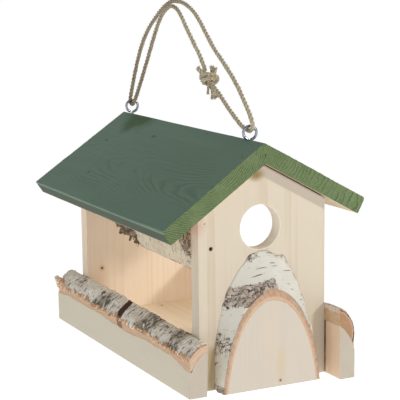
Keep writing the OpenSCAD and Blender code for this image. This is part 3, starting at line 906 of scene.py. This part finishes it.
def rail(side, t, tops, r, wood_arc, ends, low, peel_in, streaks, sawn, wood, seed, decorate, curls=()):
    """A rail's wood and bark, t thick, from ends[0] to ends[1].

    tops are the bark's heights at the house and outside and the wood's height at the house. r is the
    bark's radius and wood_arc the heart and radius of the wood's top. low gives the bark's
    lower edge outside for each y. peel_in is how far the bark has peeled from that edge. streaks,
    sawn and wood are the materials of the bark, its cut ends and the wood. decorate gives the
    marks and curls are listed flakes."""
    sign = -1 if side == "left" else 1
    stations = np.arange(ends[0], ends[1] + 0.0005, 0.00125)
    lows = low(stations)
    line = np.array([rail_section(t, tops, r, z) for z in lows])
    run = run_along(line)
    y = np.broadcast_to(stations[:, None], run.shape)
    drop = np.interp(stations, *LEFT_DROP) if side == "left" else 0 * stations
    skin_in = 0.0 if side == "left" else 0.0045
    arris = (tops[1] - lows)[:, None]
    top_end = run[:, SECTION_PARTS[0] + SECTION_PARTS[1] - 1][:, None]
    grain = stack(y, run - arris + tops[1], 0)
    # layer is 1 where the bark is still on, between a torn edge outside and one at the house.
    fringe = arris + peel_in + 0.0023 * rough(grain * (1, 0.3, 1), 0.012, seed, 3)
    inner_fringe = top_end + skin_in + 0.0014 * rough(grain * (1, 0.15, 1), 0.008, seed + 3)
    layer = smoothstep(-0.0006, 0.0006, run - fringe) * smoothstep(0.0006, -0.0006, run - inner_fringe)
    end_peel = 0.0030 + 0.0016 * rough(grain * (0.1, 1, 1), 0.008, seed + 4)
    layer = layer * smoothstep(-0.0006, 0.0006, y - stations[0] - end_peel)
    patch, stripe = decorate(y, run - arris)
    bare = 0 * run
    if side == "left":
        bare = smoothstep(0.66, 0.50, (run + 0.0014 * rough(grain, 0.011, seed + 5)) / fringe)
    # lift is the bark's thickness over the outline, and its relief.
    swell = 0.0011 * rough(grain, (0.026, 0.012, 1), seed + 7)
    swell = swell + 0.0005 * rough(grain, (0.0035, 0.02, 1), seed + 8)
    swell = swell + 0.0006 * lumps(grain, (0.009, 0.009, 1), seed + 10)
    if side == "right":
        swell = swell + 0.0013 * lumps(grain, (0.012, 0.0045, 1), seed + 12)
    lift = layer * (0.0006 + swell) + (1 - layer) * (0.00025 * rough(grain, 0.004, seed + 9) - 0.0003)
    lift = lift + patch * layer * (0.0008 * rough(grain, 0.006, seed + 11) + 0.0003)
    lift = (lift - stripe * layer * 0.0009) * smoothstep(0, 0.002, run)
    along = unit(np.gradient(line, axis=1))
    outward = stack(along[..., 1], -along[..., 0])
    shaped = line + outward * lift[..., None]
    shaped[..., 0] = np.where(run > top_end, np.maximum(shaped[..., 0], 0.0001), shaped[..., 0])
    shaped[..., 1] -= drop[:, None] * np.clip(1 - shaped[..., 0] / t, 0, 1) ** 0.7
    # One more point inside the wood closes the section.
    closing = stack(t * 0.5, (lows[:, None] + tops[2]) / 2 - 0.002)
    shaped = np.concatenate([shaped, closing], 1)
    y = np.concatenate([y, stations[:, None]], 1)
    wobble_end = 0.0006 * rough(stack(shaped[..., 0], shaped[..., 1], 0), 0.006, seed + 13)
    for row, way in ((0, 1), (-1, -1)):
        y[row] += (wobble_end[row] + 0.0006) * way
    if side == "left":
        y = y - lean(y, shaped[..., 1])
    points = stack(sign * (HALF_W + shaped[..., 0]), y, shaped[..., 1])
    rim = np.zeros_like(layer)
    rim[[0, -1]] = 0.35 * layer[[0, -1]]
    marks = {"grain": grain, "peel": 1 - layer, "patch": patch * layer,
             "stripe": stripe * smoothstep(0.0005, 0.0015, run), "edge": rim, "bare": bare}
    piece = loft(f"rail_{side}_peeling_bark", points, [streaks, sawn], None, 1,
                 {key: with_last(values) for key, values in marks.items()})
    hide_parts(f"rail_{side}_bark")
    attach(piece, "house")
    spots = []
    for i in rng.integers(6, len(stations) - 2, 150):
        j = int(np.argmax(layer[i] > 0.6)) + rng.integers(-1, 2)
        down = np.array([0, rng.normal(0, 1.2), rng.normal(-0.6, 0.6)])
        out = np.array([sign * outward[i, j, 0], 0, outward[i, j, 1]])
        size = rng.uniform(0.0014, 0.0034), rng.uniform(0.0025, 0.0065), rng.uniform(0.6, 2.2)
        spots.append((points[i, j], down, out, *size))
    spots += [(np.array(place), *rest) for place, *rest in curls]
    flakes(f"rail_{side}_torn_flakes", spots, streaks, f"rail_{side}_bark")
    rail_core(side, t, tops[2], wood_arc, stations, lows, drop, wood, seed + 15)


def rail_core(side, t, inside, wood_arc, stations, lows, drop, material, seed):
    """The rail's wood, with the bark's lower edge outside at lows and its house side at inside."""
    sign = -1 if side == "left" else 1
    heart, wood_r = wood_arc
    wood_u = np.linspace(t - 0.0022, 0.0006, 12)
    wood_z = heart[1] + np.sqrt(wood_r**2 - (wood_u - heart[0]) ** 2)
    section = []
    for z, down in zip(lows, drop):
        top = np.maximum(wood_z - 1.5 * down, z + 0.0002)
        back = inside - down
        section.append([
            (0, ARRIS_R), (ARRIS_R, 0), (t - ARRIS_R, 0), (t, ARRIS_R),
            (t, z * 0.3), (t, z * 0.6), (t, z * 0.8), (t, z),
            (t - 0.0005, z + 0.0001), (t - 0.0011, z * 0.5 + top[0] * 0.5), *zip(wood_u, top),
            (0.0006, min(back, top[-1] - 0.0002)), (0, min(back, top[-1]) - 0.0004), (0, back * 0.5)])
    section = np.array(section)
    y = np.broadcast_to(stations[:, None], section.shape[:2]).copy()
    y[0] += 0.0001
    y[-1] -= 0.0001
    saw_marks = (section[..., 0] > t - 0.0001) * 0.00008 * lumps(stack(0, y, 0), 0.0021, seed)
    if side == "left":
        y = y - lean(y, section[..., 1])
    points = stack(sign * (HALF_W + section[..., 0] + saw_marks), y, section[..., 1])
    piece = loft(f"rail_{side}_wood", points, [material, end_wood], None, 1)
    for face in piece.data.polygons:
        face.use_smooth = False
    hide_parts(f"rail_{side}_core")
    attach(piece, "house")


def lean(y, z):
    """How far the left rail's front end leans forwards at a height."""
    return 0.0030 * smoothstep(0.004, 0.036, z) * smoothstep(-0.150, -0.186, y)


def band(y, low, high, soft=0.006):
    """1 between two values of y, with soft ends."""
    return smoothstep(low - soft, low + soft, y) * smoothstep(high + soft, high - soft, y)


def left_marks(y, run):
    """The left rail's rough patches and its maroon stripe, by y and distance over the arris."""
    wander = 0.004 * rough(stack(0, run, 0), 0.012, 51)
    patches = 0.95 * band(y + wander * 2, 0.030, 0.062) * smoothstep(0.030, 0.010, run)
    patches = np.maximum(patches, 0.80 * band(y + wander, -0.088, -0.056))
    patches = np.maximum(patches, 0.75 * band(y - wander, -0.156, -0.132))
    patches = np.maximum(patches, 0.55 * band(y - wander, 0.112, 0.134) * smoothstep(0.008, 0.020, run))
    middle = -0.0135 + 0.0095 * run / 0.028
    stripe = smoothstep(0.0075, 0.0055, np.abs(y - middle + wander * 0.5))
    return patches, stripe


def right_marks(y, run):
    """The right rail's rough patches; it has no stripe."""
    wander = 0.004 * rough(stack(0, run, 0), 0.012, 61)
    patches = 0.5 * band(y + wander, -0.120, -0.085) + 0.45 * band(y - wander, 0.010, 0.055)
    patches = patches + 0.5 * band(y, 0.120, 0.150)
    return patches, 0 * y


def left_low(y):
    """Height of the bark's lower edge on the left rail's outer face."""
    place = stack(y, 0, 0)
    drop = 0.0085 * smoothstep(-0.140, -0.185, y)
    return 0.0345 + 0.0022 * lumps(place, 0.042, 71) + 0.0006 * rough(place, 0.008, 72) - drop


def right_low(y):
    place = stack(y, 0, 0)
    return 0.0315 + 0.0020 * lumps(place, 0.05, 81) + 0.0006 * rough(place, 0.008, 82)


REAR_CURLS = [
    ((-0.0920, 0.1660, 0.0440), (-0.35, 0.30, 0.90), (-0.6, -0.75, 0.25), 0.0125, 0.0090, 0.7),
    ((-0.0925, 0.1560, 0.0430), (-0.30, 0.50, 0.80), (-0.6, -0.75, 0.10), 0.0095, 0.0080, 1.3),
    ((-0.0915, 0.1600, 0.0465), (-0.10, 0.90, 0.45), (-0.7, -0.60, 0.50), 0.0110, 0.0070, 1.6),
]
LEFT_T, LEFT_R, LEFT_TOPS = 0.020, 0.030, (0.060, 0.041, 0.050)
RIGHT_T, RIGHT_R, RIGHT_TOPS = 0.018, 0.028, (0.0745, 0.050, 0.0575)
right_heart = arc_heart((0, RIGHT_TOPS[0]), (RIGHT_T, RIGHT_TOPS[1]), RIGHT_R)
tan_end = flesh("inner_bark_sawn_tan", (0.375, 0.215, 0.120), (0.480, 0.295, 0.175), 0.1,
                (HALF_W + right_heart[0], right_heart[1], RIGHT_R))
left_wood = arc_heart((0, LEFT_TOPS[0]), (LEFT_T, LEFT_TOPS[1]), LEFT_R), LEFT_R - 0.0036
right_wood = arc_heart((0, RIGHT_TOPS[2]), (RIGHT_T, 0.031), 0.060), 0.060
rail("left", LEFT_T, LEFT_TOPS, LEFT_R, left_wood, (-0.186, 0.172), left_low, 0.0012,
     grey_bark, pink_end, rail_wood, 100, left_marks, REAR_CURLS)
rail("right", RIGHT_T, RIGHT_TOPS, RIGHT_R, right_wood, (-0.201, 0.160), right_low, 0.0005,
     brown_bark, tan_end, warm_bounce_wood, 200, right_marks)

# ------------------------------------------------------------------ slab under the left eave

SLAB_OUT_X = -0.077
SLAB_R = 0.060
SLAB_BARK = 0.004
SLAB_HEART_Z = 0.151
SLAB_EDGE = ((-0.154, -0.035, -0.022, -0.014, 0.012, 0.026, 0.040, 0.124),
             (0.122, 0.1225, 0.1235, 0.129, 0.132, 0.137, 0.141, 0.141))


def slab_top(x):
    """Height of the roof's underside over the slab."""
    return RIDGE_Z - ROOF_THICK / math.cos(PITCH["left"]) - 0.0003 + x * math.tan(PITCH["left"])


def slab_arc(radius, low, count):
    """Points (x, z) up the log's outside from a height to the roof."""
    angles = np.linspace(math.pi * 0.72, math.pi * 1.25, 600)
    x = SLAB_OUT_X + SLAB_R + radius * np.cos(angles)
    z = SLAB_HEART_Z + radius * np.sin(angles)
    keep = (z >= low) & (z <= slab_top(x))
    x, z = x[keep][::-1], z[keep][::-1]
    z[0] = low
    pick = np.linspace(0, len(x) - 1, count).round().astype(int)
    return stack(x[pick], z[pick])


def eave_slab():
    """The bark of the slab under the left eave, with its torn lower edge."""
    stations = np.linspace(FRONT_IN + 0.0001, REAR_IN - 0.0001, 200)
    lows = np.interp(stations, *SLAB_EDGE) + 0.0004 * rough(stack(stations, 0, 0), 0.012, 91) - 0.0008
    outer = np.array([slab_arc(SLAB_R, z, 34) for z in lows])
    inner = np.array([slab_arc(SLAB_R - SLAB_BARK, z, 6)[::-1] for z in lows])
    run = run_along(outer)
    y = np.broadcast_to(stations[:, None], run.shape)
    grain = stack(y, outer[..., 1], 0)
    tear = 0.0012 + 0.0008 * rough(grain * (1, 0.1, 1), 0.014, 92, 4)
    tear = tear * smoothstep(stations[0] - 0.001, stations[0] + 0.020, y) + 0.0004
    layer = smoothstep(-0.0007, 0.0007, run - tear)
    front_scab = np.hypot((y + 0.150) / 0.016, (outer[..., 1] - 0.160) / 0.030)
    back_scab = np.hypot((y - 0.010) / 0.036, (outer[..., 1] - 0.134) / 0.010)
    front_scab = 0.75 * smoothstep(1.6, 0.3, front_scab + 0.3 * rough(grain, 0.012, 93))
    patch = np.maximum(front_scab, smoothstep(1.3, 0.6, back_scab + 0.3 * rough(grain, 0.010, 94)))
    swell = 0.0009 * rough(grain, (0.030, 0.012, 1), 95) - 0.0005
    lift = layer * swell + (1 - layer) * (-0.0012 + 0.0003 * rough(grain, 0.004, 96))
    lift = lift + patch * 0.0016 * rough(grain, 0.005, 97)
    top = smoothstep(0.0, 0.003, run[:, -1:] - run)
    along = unit(np.gradient(outer, axis=1))
    outward = stack(-along[..., 1], along[..., 0])
    shaped = outer + outward * (lift * top)[..., None]
    section = np.concatenate([shaped, inner], 1)
    grid_y = np.broadcast_to(stations[:, None], section.shape[:2])
    points = stack(section[..., 0], grid_y, section[..., 1])
    extra = np.ones(inner.shape[:2])
    nothing = np.zeros(section.shape[:2])
    grain = np.concatenate([grain, stack(grid_y[:, -6:], inner[..., 1], 0)], 1)
    piece = loft("eave_slab_birch_bark", points, [tan_bark], None, 0, {
        "grain": grain, "peel": np.concatenate([1 - layer, extra], 1),
        "patch": np.concatenate([patch * layer, 0 * extra], 1), "stripe": nothing, "edge": nothing,
        "bare": nothing})
    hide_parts("eave_slab_bark")
    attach(piece, "house")
    spots = []
    for i in rng.integers(94, 132, 46):
        j = rng.integers(1, 14)
        out = np.array([outward[i, j, 0], 0, outward[i, j, 1]])
        way = (0, rng.normal(0, 1.0), -1.0)
        size = rng.uniform(0.003, 0.007), rng.uniform(0.003, 0.006), rng.uniform(0.5, 2.2)
        spots.append((points[i, j], way, out, *size))
    flakes("eave_slab_torn_flakes", spots, tan_bark, "eave_slab_bark", 0.9)


eave_slab()

# ------------------------------------------------------------------ screw eyes and nails


def frames(path):
    """A side direction and a second one, square to the path, carried along it without twist."""
    tangents = unit(np.gradient(path, axis=0))
    side = np.cross(tangents[0], (1, 0, 0) if abs(tangents[0][0]) < 0.9 else (0, 1, 0))
    sides = []
    for tangent in tangents:
        side = unit(side - tangent * (side @ tangent))
        sides.append(side)
    sides = np.array(sides)
    return tangents, sides, np.cross(tangents, sides)


def tube_faces(rows, sides, start=0):
    """Faces of a closed tube of rings."""
    faces = []
    for i in range(rows - 1):
        for k in range(sides):
            a = start + i * sides + k
            b = start + i * sides + (k + 1) % sides
            faces.append([a, b, b + sides, a + sides])
    faces.append([start + k for k in range(sides - 1, -1, -1)])
    faces.append([start + (rows - 1) * sides + k for k in range(sides)])
    return faces


def tube(path, radius, sides):
    """Points and faces of a tube along an open path (n, 3); radius has a value for each point."""
    path = np.asarray(path, float)
    radius = np.asarray(radius, float)[:, None, None]
    _, side, other = frames(path)
    a = 2 * math.pi * np.arange(sides)[:, None] / sides
    points = path[:, None] + radius * (np.cos(a) * side[:, None] + np.sin(a) * other[:, None])
    return points.reshape(-1, 3), tube_faces(len(path), sides)


def zinc():
    """Bright, slightly scratched plating."""
    p = Paint("bright_zinc")
    place = p.place()
    cloud = p.noise(place, 420.0)
    p.color = p.mix(cloud, (0.20, 0.235, 0.28), (0.50, 0.54, 0.60))
    scratch = p.noise(place, (900, 900, 5000), 1.0)
    return p.finish(0.14 + cloud * 0.18, p.bump(scratch, 0.00004), metallic=1.0)


def dull_steel():
    """Nail heads in their holes, oxidised and dirty."""
    p = Paint("dull_steel")
    rust = p.noise(p.place(), 900.0)
    p.color = p.mix(p.ramp(rust, 0.4, 0.65), (0.020, 0.018, 0.018), (0.055, 0.032, 0.020))
    return p.finish(0.7, p.bump(rust, 0.0001), metallic=0.3)


bright_zinc = zinc()
# Height of the ring's middle above the ridge, its radius to the wire's middle, the wire's
# thickness, the ring's turn about Z and how far the screw goes into the ridge.
EYE_RISE = 0.0094
EYE_MID_R = 0.0069
EYE_WIRE = 0.003
EYE_TURN = math.radians(-11)
EYE_SCREW = 0.017


def screw_eye(name, y):
    """A shank that bends into a ring, its end touching the shank."""
    angles = np.radians(np.linspace(-76, 254, 56))
    ring = stack(EYE_MID_R * np.cos(angles), EYE_RISE + EYE_MID_R * np.sin(angles))
    shank = [(0, -EYE_SCREW), (0, EYE_WIRE - EYE_SCREW), (0, -0.004), (0, -0.0005), (0.0003, 0.0008),
             (0.0009, 0.0018)]
    x, z = np.concatenate([shank, ring]).T
    turned = stack(x * math.cos(EYE_TURN), y + x * math.sin(EYE_TURN), RIDGE_Z + z)
    radius = np.full(len(turned), EYE_WIRE / 2)
    radius[0] = 0.0003
    radius[-1] = EYE_WIRE * 0.42
    points, faces = tube(turned, radius, 16)
    piece = make_mesh(name, points, faces, [bright_zinc])
    fix_normals(piece)
    for face in piece.data.polygons[-2:]:
        face.use_smooth = False
    return piece


for end, y in (("front", -0.144), ("rear", 0.150)):
    eye = screw_eye(f"eye_{end}_bent_wire", y)
    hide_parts(f"screw_eye_{end}")
    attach(eye, "house")

for name in ("floor_nails", "ridge_pins", "rail_brads_left", "rail_brads_right", "slice_screws"):
    dress(name, bright_zinc)

NAIL_R = 0.0011
HEAD_R = 0.00215
HEAD_T = 0.0010
HIGH_NAIL = (-0.066, 0.172)
LOW_NAIL = (-0.059, 0.146)


def slab_nail(name, x, z, y, inward, sunk, head_r, material):
    """A nail along Y, its head sunk below a gable's face at y; inward is its way in, 1 or -1."""
    depth, r = np.array([
        (sunk, head_r * 0.8), (sunk + 0.0001, head_r), (sunk + HEAD_T, head_r),
        (sunk + HEAD_T + 0.0001, NAIL_R), (0.0350, NAIL_R), (0.0379, 0.0003)]).T[..., None]
    angles = np.linspace(0, 2 * math.pi, 20, endpoint=False)
    rings = stack(x + r * np.cos(angles), y + inward * depth, z + r * np.sin(angles))
    piece = loft(name, rings, [material], None, 0, smooth=False)
    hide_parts("slab_nails")
    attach(piece, "house")


def closed_hole():
    """A sunk nail that the wood has nearly closed over: pale, with a dark middle."""
    p = Paint("closed_nail_hole")
    away = p.blob(p.place(), (HIGH_NAIL[0], FRONT_Y, HIGH_NAIL[1]), 0.0014, (1, 3, 1))
    p.color = p.mix(p.ramp(away, 0.35, 0.9), (0.25, 0.17, 0.11), PINE_LIGHT)
    return p.finish(0.8, p.bump(away, 0.0001))


nail_steel = dull_steel()
for label, spot, sunk, head_r, steel in (
        ("low", LOW_NAIL, 0.0020, 0.0017, nail_steel), ("high", HIGH_NAIL, 0.0001, HEAD_R, closed_hole())):
    slab_nail(f"slab_nail_front_{label}", *spot, FRONT_Y, 1, sunk, head_r, steel)
    slab_nail(f"slab_nail_rear_{label}", *spot, REAR_Y, -1, 0.0020, HEAD_R, nail_steel)
for name in ("roof_nails_left", "roof_nails_right"):
    dress(name, roof_top_green)

# ------------------------------------------------------------------ rope

# The route is in millimetres. ROPE_X is how far the two ropes lie from the middle at the top.
ROPE_D = 0.0048
LAY = 0.0150
ROPE_STEP = 0.0011
ROPE_X = 2.3
ROPE_ROUTE = [
    (0, -60, 297.5), (0, -76, 290), (0, -90, 281), (0, -104, 272.5), (0, -118, 265),
    (0, -129, 260), (0, -138, 257.8), (0, -144, 257.6), (0, -148.6, 259.8), (0, -149.6, 264.5),
    (0, -146.5, 270.5), (0, -140, 278.5), (0, -130, 289), (0, -118, 300.5), (0, -104, 311.5),
    (0, -86, 323.5), (0, -66, 336.5), (1, -45, 352), (2, -28, 364.5), (ROPE_X, -11, 374.5),
    (ROPE_X, 8, 381), (ROPE_X, 26, 383), (ROPE_X, 43, 382), (2, 62, 375), (1, 81, 363),
    (0, 100, 348.5), (0, 117, 331.5), (0, 130, 313), (0, 141, 293.5), (0, 149.5, 276),
    (0, 154.7, 265), (0, 154.6, 259.8), (0, 150, 257.6), (0, 145, 259.6), (0, 140.5, 264.5),
    (0, 134, 272.5), (0, 125, 284), (0, 111, 303.5), (0, 97, 323), (-1, 82, 341.5),
    (-ROPE_X, 62, 362.5), (-ROPE_X, 46, 373.5), (-ROPE_X, 31, 377.8), (-ROPE_X, 17, 374.5),
    (-ROPE_X, 6, 366.5), (-2, -8, 352.5), (-1, -22, 338), (0, -34, 325.5), (0, -44, 313.5),
]


def smooth_path(route, spacing):
    """Points spacing apart on a Catmull-Rom curve through the route, and its length."""
    route = np.asarray(route, float)
    dense = []
    t = np.linspace(0, 1, 100, endpoint=False)[:, None]
    for i in range(len(route) - 1):
        a, b, c, d = route[max(i - 1, 0)], route[i], route[i + 1], route[min(i + 2, len(route) - 1)]
        square = (2 * a - 5 * b + 4 * c - d) * t**2
        dense.append(0.5 * (2 * b + (c - a) * t + square + (3 * b - a - 3 * c + d) * t**3))
    dense = np.concatenate([*dense, route[-1:]])
    run = run_along(dense)
    even = np.linspace(0, run[-1], max(2, round(run[-1] / spacing)) + 1)
    return np.stack([np.interp(even, run, dense[:, k]) for k in range(3)], -1), run[-1]


def laid_rope(path, diameter):
    """Three strands twisted along a path. Returns points, faces and the strand coordinates."""
    _, sides, others = frames(path)
    run = run_along(path)
    strand_r = diameter * 0.255
    offset = diameter * 0.5 - strand_r
    points, faces, coords = [], [], []
    around = 9
    for strand in range(3):
        turn = 2 * math.pi * (run / LAY + strand / 3)
        away = offset * (1 + 0.05 * lumps(stack(run, 0, 0), 0.02, 300 + strand))
        fat = strand_r * (1 + 0.07 * lumps(stack(run, 0, 0), 0.009, 310 + strand))
        ways = np.cos(turn)[:, None] * sides + np.sin(turn)[:, None] * others
        centre = path + away[:, None] * ways
        spin = 2 * math.pi * np.arange(around) / around
        a = (turn[:, None] + spin)[..., None]
        ring = np.cos(a) * sides[:, None] + np.sin(a) * others[:, None]
        points.append((centre[:, None] + fat[:, None, None] * ring).reshape(-1, 3))
        round_it = stack(run[:, None], np.cos(spin) * 0.5, np.sin(spin) * 0.5 + strand * 3.0)
        coords.append(round_it.reshape(-1, 3))
        faces += tube_faces(len(path), around, strand * around * len(path))
    return np.concatenate(points), faces, np.concatenate(coords)


def join(parts):
    """Puts several (points, faces, coords) together."""
    points, faces, coords = [], [], []
    count = 0
    for p, f, c in parts:
        points.append(p)
        coords.append(c)
        faces += [[i + count for i in face] for face in f]
        count += len(p)
    return np.concatenate(points), faces, np.concatenate(coords)


HAIR_REACH = 0.0046
HAIR_ROOT = 0.0020
HAIR_BOW = 0.0020
HAIR_R = 0.00009


def hair(line, radius, sides):
    """A single fibre, with its own place in the strands' colours."""
    points, faces = tube(line, radius, sides)
    return points, faces, np.full((len(points), 3), (rng.uniform(0, 1), 0, 9.0))


def fibres(path, count, length):
    """Loose hairs that leave the rope at a slant."""
    tangents, sides, others = frames(path)
    parts = []
    for _ in range(count):
        i = rng.integers(1, len(path) - 1)
        a = rng.uniform(0, 2 * math.pi)
        out = math.cos(a) * sides[i] + math.sin(a) * others[i]
        skew = math.cos(a + 1.6) * sides[i] + math.sin(a + 1.6) * others[i]
        way = tangents[i] * (1 if rng.random() < 0.5 else -1)
        size = length * rng.uniform(0.4, 1)
        line = []
        for t in (0, 0.35, 0.7, 1):
            slant = (way * t + skew * rng.uniform(-0.25, 0.5) * t) * size
            line.append(path[i] + out * HAIR_ROOT + slant + out * HAIR_BOW * t * t * rng.uniform(0.6, 1))
        if np.linalg.norm(path - line[-1], axis=1).min() <= HAIR_REACH:
            parts.append(hair(line, HAIR_R * np.array([1, 1, 0.8, 0.3]), 3))
    return join(parts)


def hemp(name):
    """Hemp strands; the mesh gives twist = (run, and a position round the strand) and shade."""
    p = Paint(name)
    twist = p.attribute_vector("twist")
    shade = p.attribute("shade")
    fibre = p.noise(twist, (130, 9, 9), 3.0, 0.6)
    fine = p.noise(twist, (420, 34, 34), 2.0)
    cloud = p.noise(twist, (45, 0.7, 0.7), 2.0)
    value = fibre * 0.6 + fine * 0.4
    dark = p.mix(p.ramp(value, 0.34, 0.68), (0.13, 0.098, 0.055), (0.47, 0.375, 0.245))
    pale = p.mix(p.ramp(value, 0.30, 0.64), (0.27, 0.225, 0.14), (0.78, 0.68, 0.49))
    level = p.math("ADD", shade, (cloud - 0.5) * 0.9, clamp=True)
    p.color = p.mix(level, dark, pale)
    return p.finish(0.85, p.bump(value, 0.0003), specular=0.12, sheen=0.25)


hemp_strands = hemp("hemp_strands")


def rope_shade(points):
    """Paler at the front, browner towards the rear."""
    return smoothstep(0.13, -0.05, points[:, 1]) * 0.70 + 0.25


def rope_piece(name, parts):
    """A piece of the rope's loop, from several (points, faces, coords)."""
    points, faces, coords = join(parts)
    marks = {"twist": coords, "shade": rope_shade(points)}
    piece = make_mesh(name, points, faces, [hemp_strands], attributes=marks)
    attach(piece, "rope_loop")
    return piece


route_m = [tuple(v * MM for v in p) for p in ROPE_ROUTE]
rope_path, rope_length = smooth_path(route_m, ROPE_STEP)
rope = rope_piece("rope_three_strand", [laid_rope(rope_path, ROPE_D), fibres(rope_path, 520, 0.007)])
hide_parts("hanging_rope")

# ------------------------------------------------------------------ knot

KNOT_AT = np.array((0, -0.0525, 0.304))
KNOT_AXIS = np.array((0, math.sqrt(0.5), math.sqrt(0.5)))
KNOT_SIDE = np.array((1.0, 0, 0))
KNOT_OUT = np.cross(KNOT_AXIS, KNOT_SIDE)
BRUSH_SPREAD = 0.0016
BRUSH_R = 0.00026


def knot_point(along, across, out):
    return KNOT_AT + KNOT_AXIS * along + KNOT_SIDE * across + KNOT_OUT * out


def frayed_end(at, way, count, length, reach):
    """A brush of single fibres at a cut end."""
    way = unit(way)
    side = unit(np.cross(way, (0, 0, 1.0)))
    other = np.cross(way, side)
    parts = []
    for _ in range(count):
        a = rng.uniform(0, 2 * math.pi)
        r = reach * math.sqrt(rng.random())
        out = math.cos(a) * side + math.sin(a) * other
        size = length * rng.uniform(0.55, 1)
        bend = rng.normal(0, 0.25, 3)
        line = []
        for t in (-0.25, 0.2, 0.6, 1):
            spread = out * BRUSH_SPREAD * t * t * rng.uniform(0.3, 1)
            line.append(at + out * r + way * size * t + spread + bend * size * 0.35 * t * t)
        parts.append(hair(line, BRUSH_R * np.array([1, 1, 0.8, 0.3]), 4))
    return join(parts)


# Each end is (points in millimetres from the knot's middle, thickness, fibres, their length).
KNOT_ENDS = (
    ([(0, 8.5, 9.5), (-2, 5, 6), (-2.5, 0.5, 1.5), (-1, -4, -3.5), (0.8, -6.5, -9.5), (1.8, -7.5, -15),
      (1.2, -8.5, -18.5)], 1.15, 70, 0.0040),
    ([(0, -7.5, -6.5), (2, -4, -3.5), (3.5, -0.5, 0.5), (4.6, 1.0, 4.0), (5.2, 0.8, 7.5), (4.6, 0.5, 10)],
     1.0, 60, 0.0034),
    ([(-2.5, -1, 1), (-6.0, -0.2, 4.2), (-8.2, 2.0, 7.2), (-9.4, 4.2, 9.8)], 1.10, 60, 0.0028),
    ([(4, -1, 3), (6.6, -2, 5.8), (7.4, -2, 8.6)], 0.80, 40, 0.0034),
    ([(-2, -5, -5), (-3.8, -6.5, -10), (-4.2, -7, -14.5)], 0.62, 30, 0.0026),
    ([(3, -5, -7), (4.6, -7, -13), (5.2, -8.5, -17.5)], 0.85, 40, 0.0042),
)


def knot():
    """Both ends of the rope lie side by side, held by a wrap, and stick out frayed."""
    turns = np.linspace(0.4, 0.4 + 2 * math.pi * 1.75, 60)
    wrap = [knot_point(0.0038 - 0.0100 * (t - turns[0]) / (turns[-1] - turns[0]) - 0.0016 * math.cos(t),
                       0.0010 + 0.0084 * math.cos(t), 0.0058 * math.sin(t)) for t in turns]
    wrap_path, _ = smooth_path(wrap, ROPE_STEP)
    parts = [laid_rope(wrap_path, ROPE_D * 1.08), fibres(wrap_path, 60, 0.006)]
    for line, share, count, length in KNOT_ENDS:
        path, _ = smooth_path(KNOT_AT + np.array(line) * MM, ROPE_STEP)
        parts.append(laid_rope(path, ROPE_D * share))
        parts.append(frayed_end(path[-1], path[-1] - path[-3], count, length, 0.0019 * share))
    return rope_piece("knot_with_frayed_ends", parts)


knot_piece = knot()
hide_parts("rope_knot")
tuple(route_m[0])
[tuple(p) for p in rope_path]

# ------------------------------------------------------------------ floor and light


def stage_floor():
    """A plain pale floor well below the hanging feeder."""
    p = Paint("pale_floor")
    grey = p.noise(p.place(), 3.0, 2.0)
    color = p.mix(grey, (0.93, 0.93, 0.93), (0.95, 0.95, 0.95))
    shader = p.node("BsdfPrincipled", {
        "Base Color": color, "Roughness": 0.9, "Emission Color": (1, 1, 1),
        "Emission Strength": FLOOR_GLOW})
    p.node("OutputMaterial", {"Surface": shader[0]})
    corners = [(x, y, FLOOR_Z) for x, y in ((-30, -30), (30, -30), (30, 30), (-30, 30))]
    floor = make_mesh("floor", corners, [[0, 1, 2, 3]], [p.material], smooth=False)


FLOOR_Z = -0.25
FLOOR_GLOW = 0.69
stage_floor()

WARM = (1.0, 0.985, 0.95)
COOL = (0.97, 0.985, 1.0)


def lamp(name, kind, at, towards, power, color, **settings):
    """A lamp that shines from one place towards another; returns its object."""
    data = bpy.data.lights.new(name, kind)
    data.energy = power
    data.color = color
    for key, value in settings.items():
        setattr(data, key, value)
    light = bpy.data.objects.new(name, data)
    light.location = at
    light.rotation_euler = (Vector(towards) - Vector(at)).to_track_quat("-Z", "Y").to_euler()
    bpy.context.scene.collection.objects.link(light)
    return light


def disk(name, at, size, power, color):
    """A round lamp that faces the house."""
    return lamp(name, "AREA", at, (0, 0, 0.12), power, color, shape="DISK", size=size)


disk("key", (1.9, -1.15, 1.55), 0.32, 5, WARM)
disk("low key", (1.09, -2.34, 0.94), 0.24, 20, WARM)
disk("fill", (-2.2, -0.8, 1.0), 1.2, 6, COOL)
# Two hidden lamps stand for the light that bounces about in the house.
disk("bounce", (0.0, -0.03, 0.195), 0.09, 0.015, WARM).visible_camera = False
lamp("bounce_low", "SPOT", (0.010, -0.080, 0.185), (0.045, 0.110, 0.000), 0.85, WARM,
     spot_size=math.radians(80), spot_blend=1.0, shadow_soft_size=0.045).visible_camera = False

world = bpy.data.worlds.new("studio")
bpy.context.scene.world = world
world.use_nodes = True
sky = world.node_tree.nodes["Background"].inputs
sky["Color"].default_value = (1, 1, 1, 1)
sky["Strength"].default_value = 0.33
bpy.context.scene.view_settings.view_transform = "Standard"
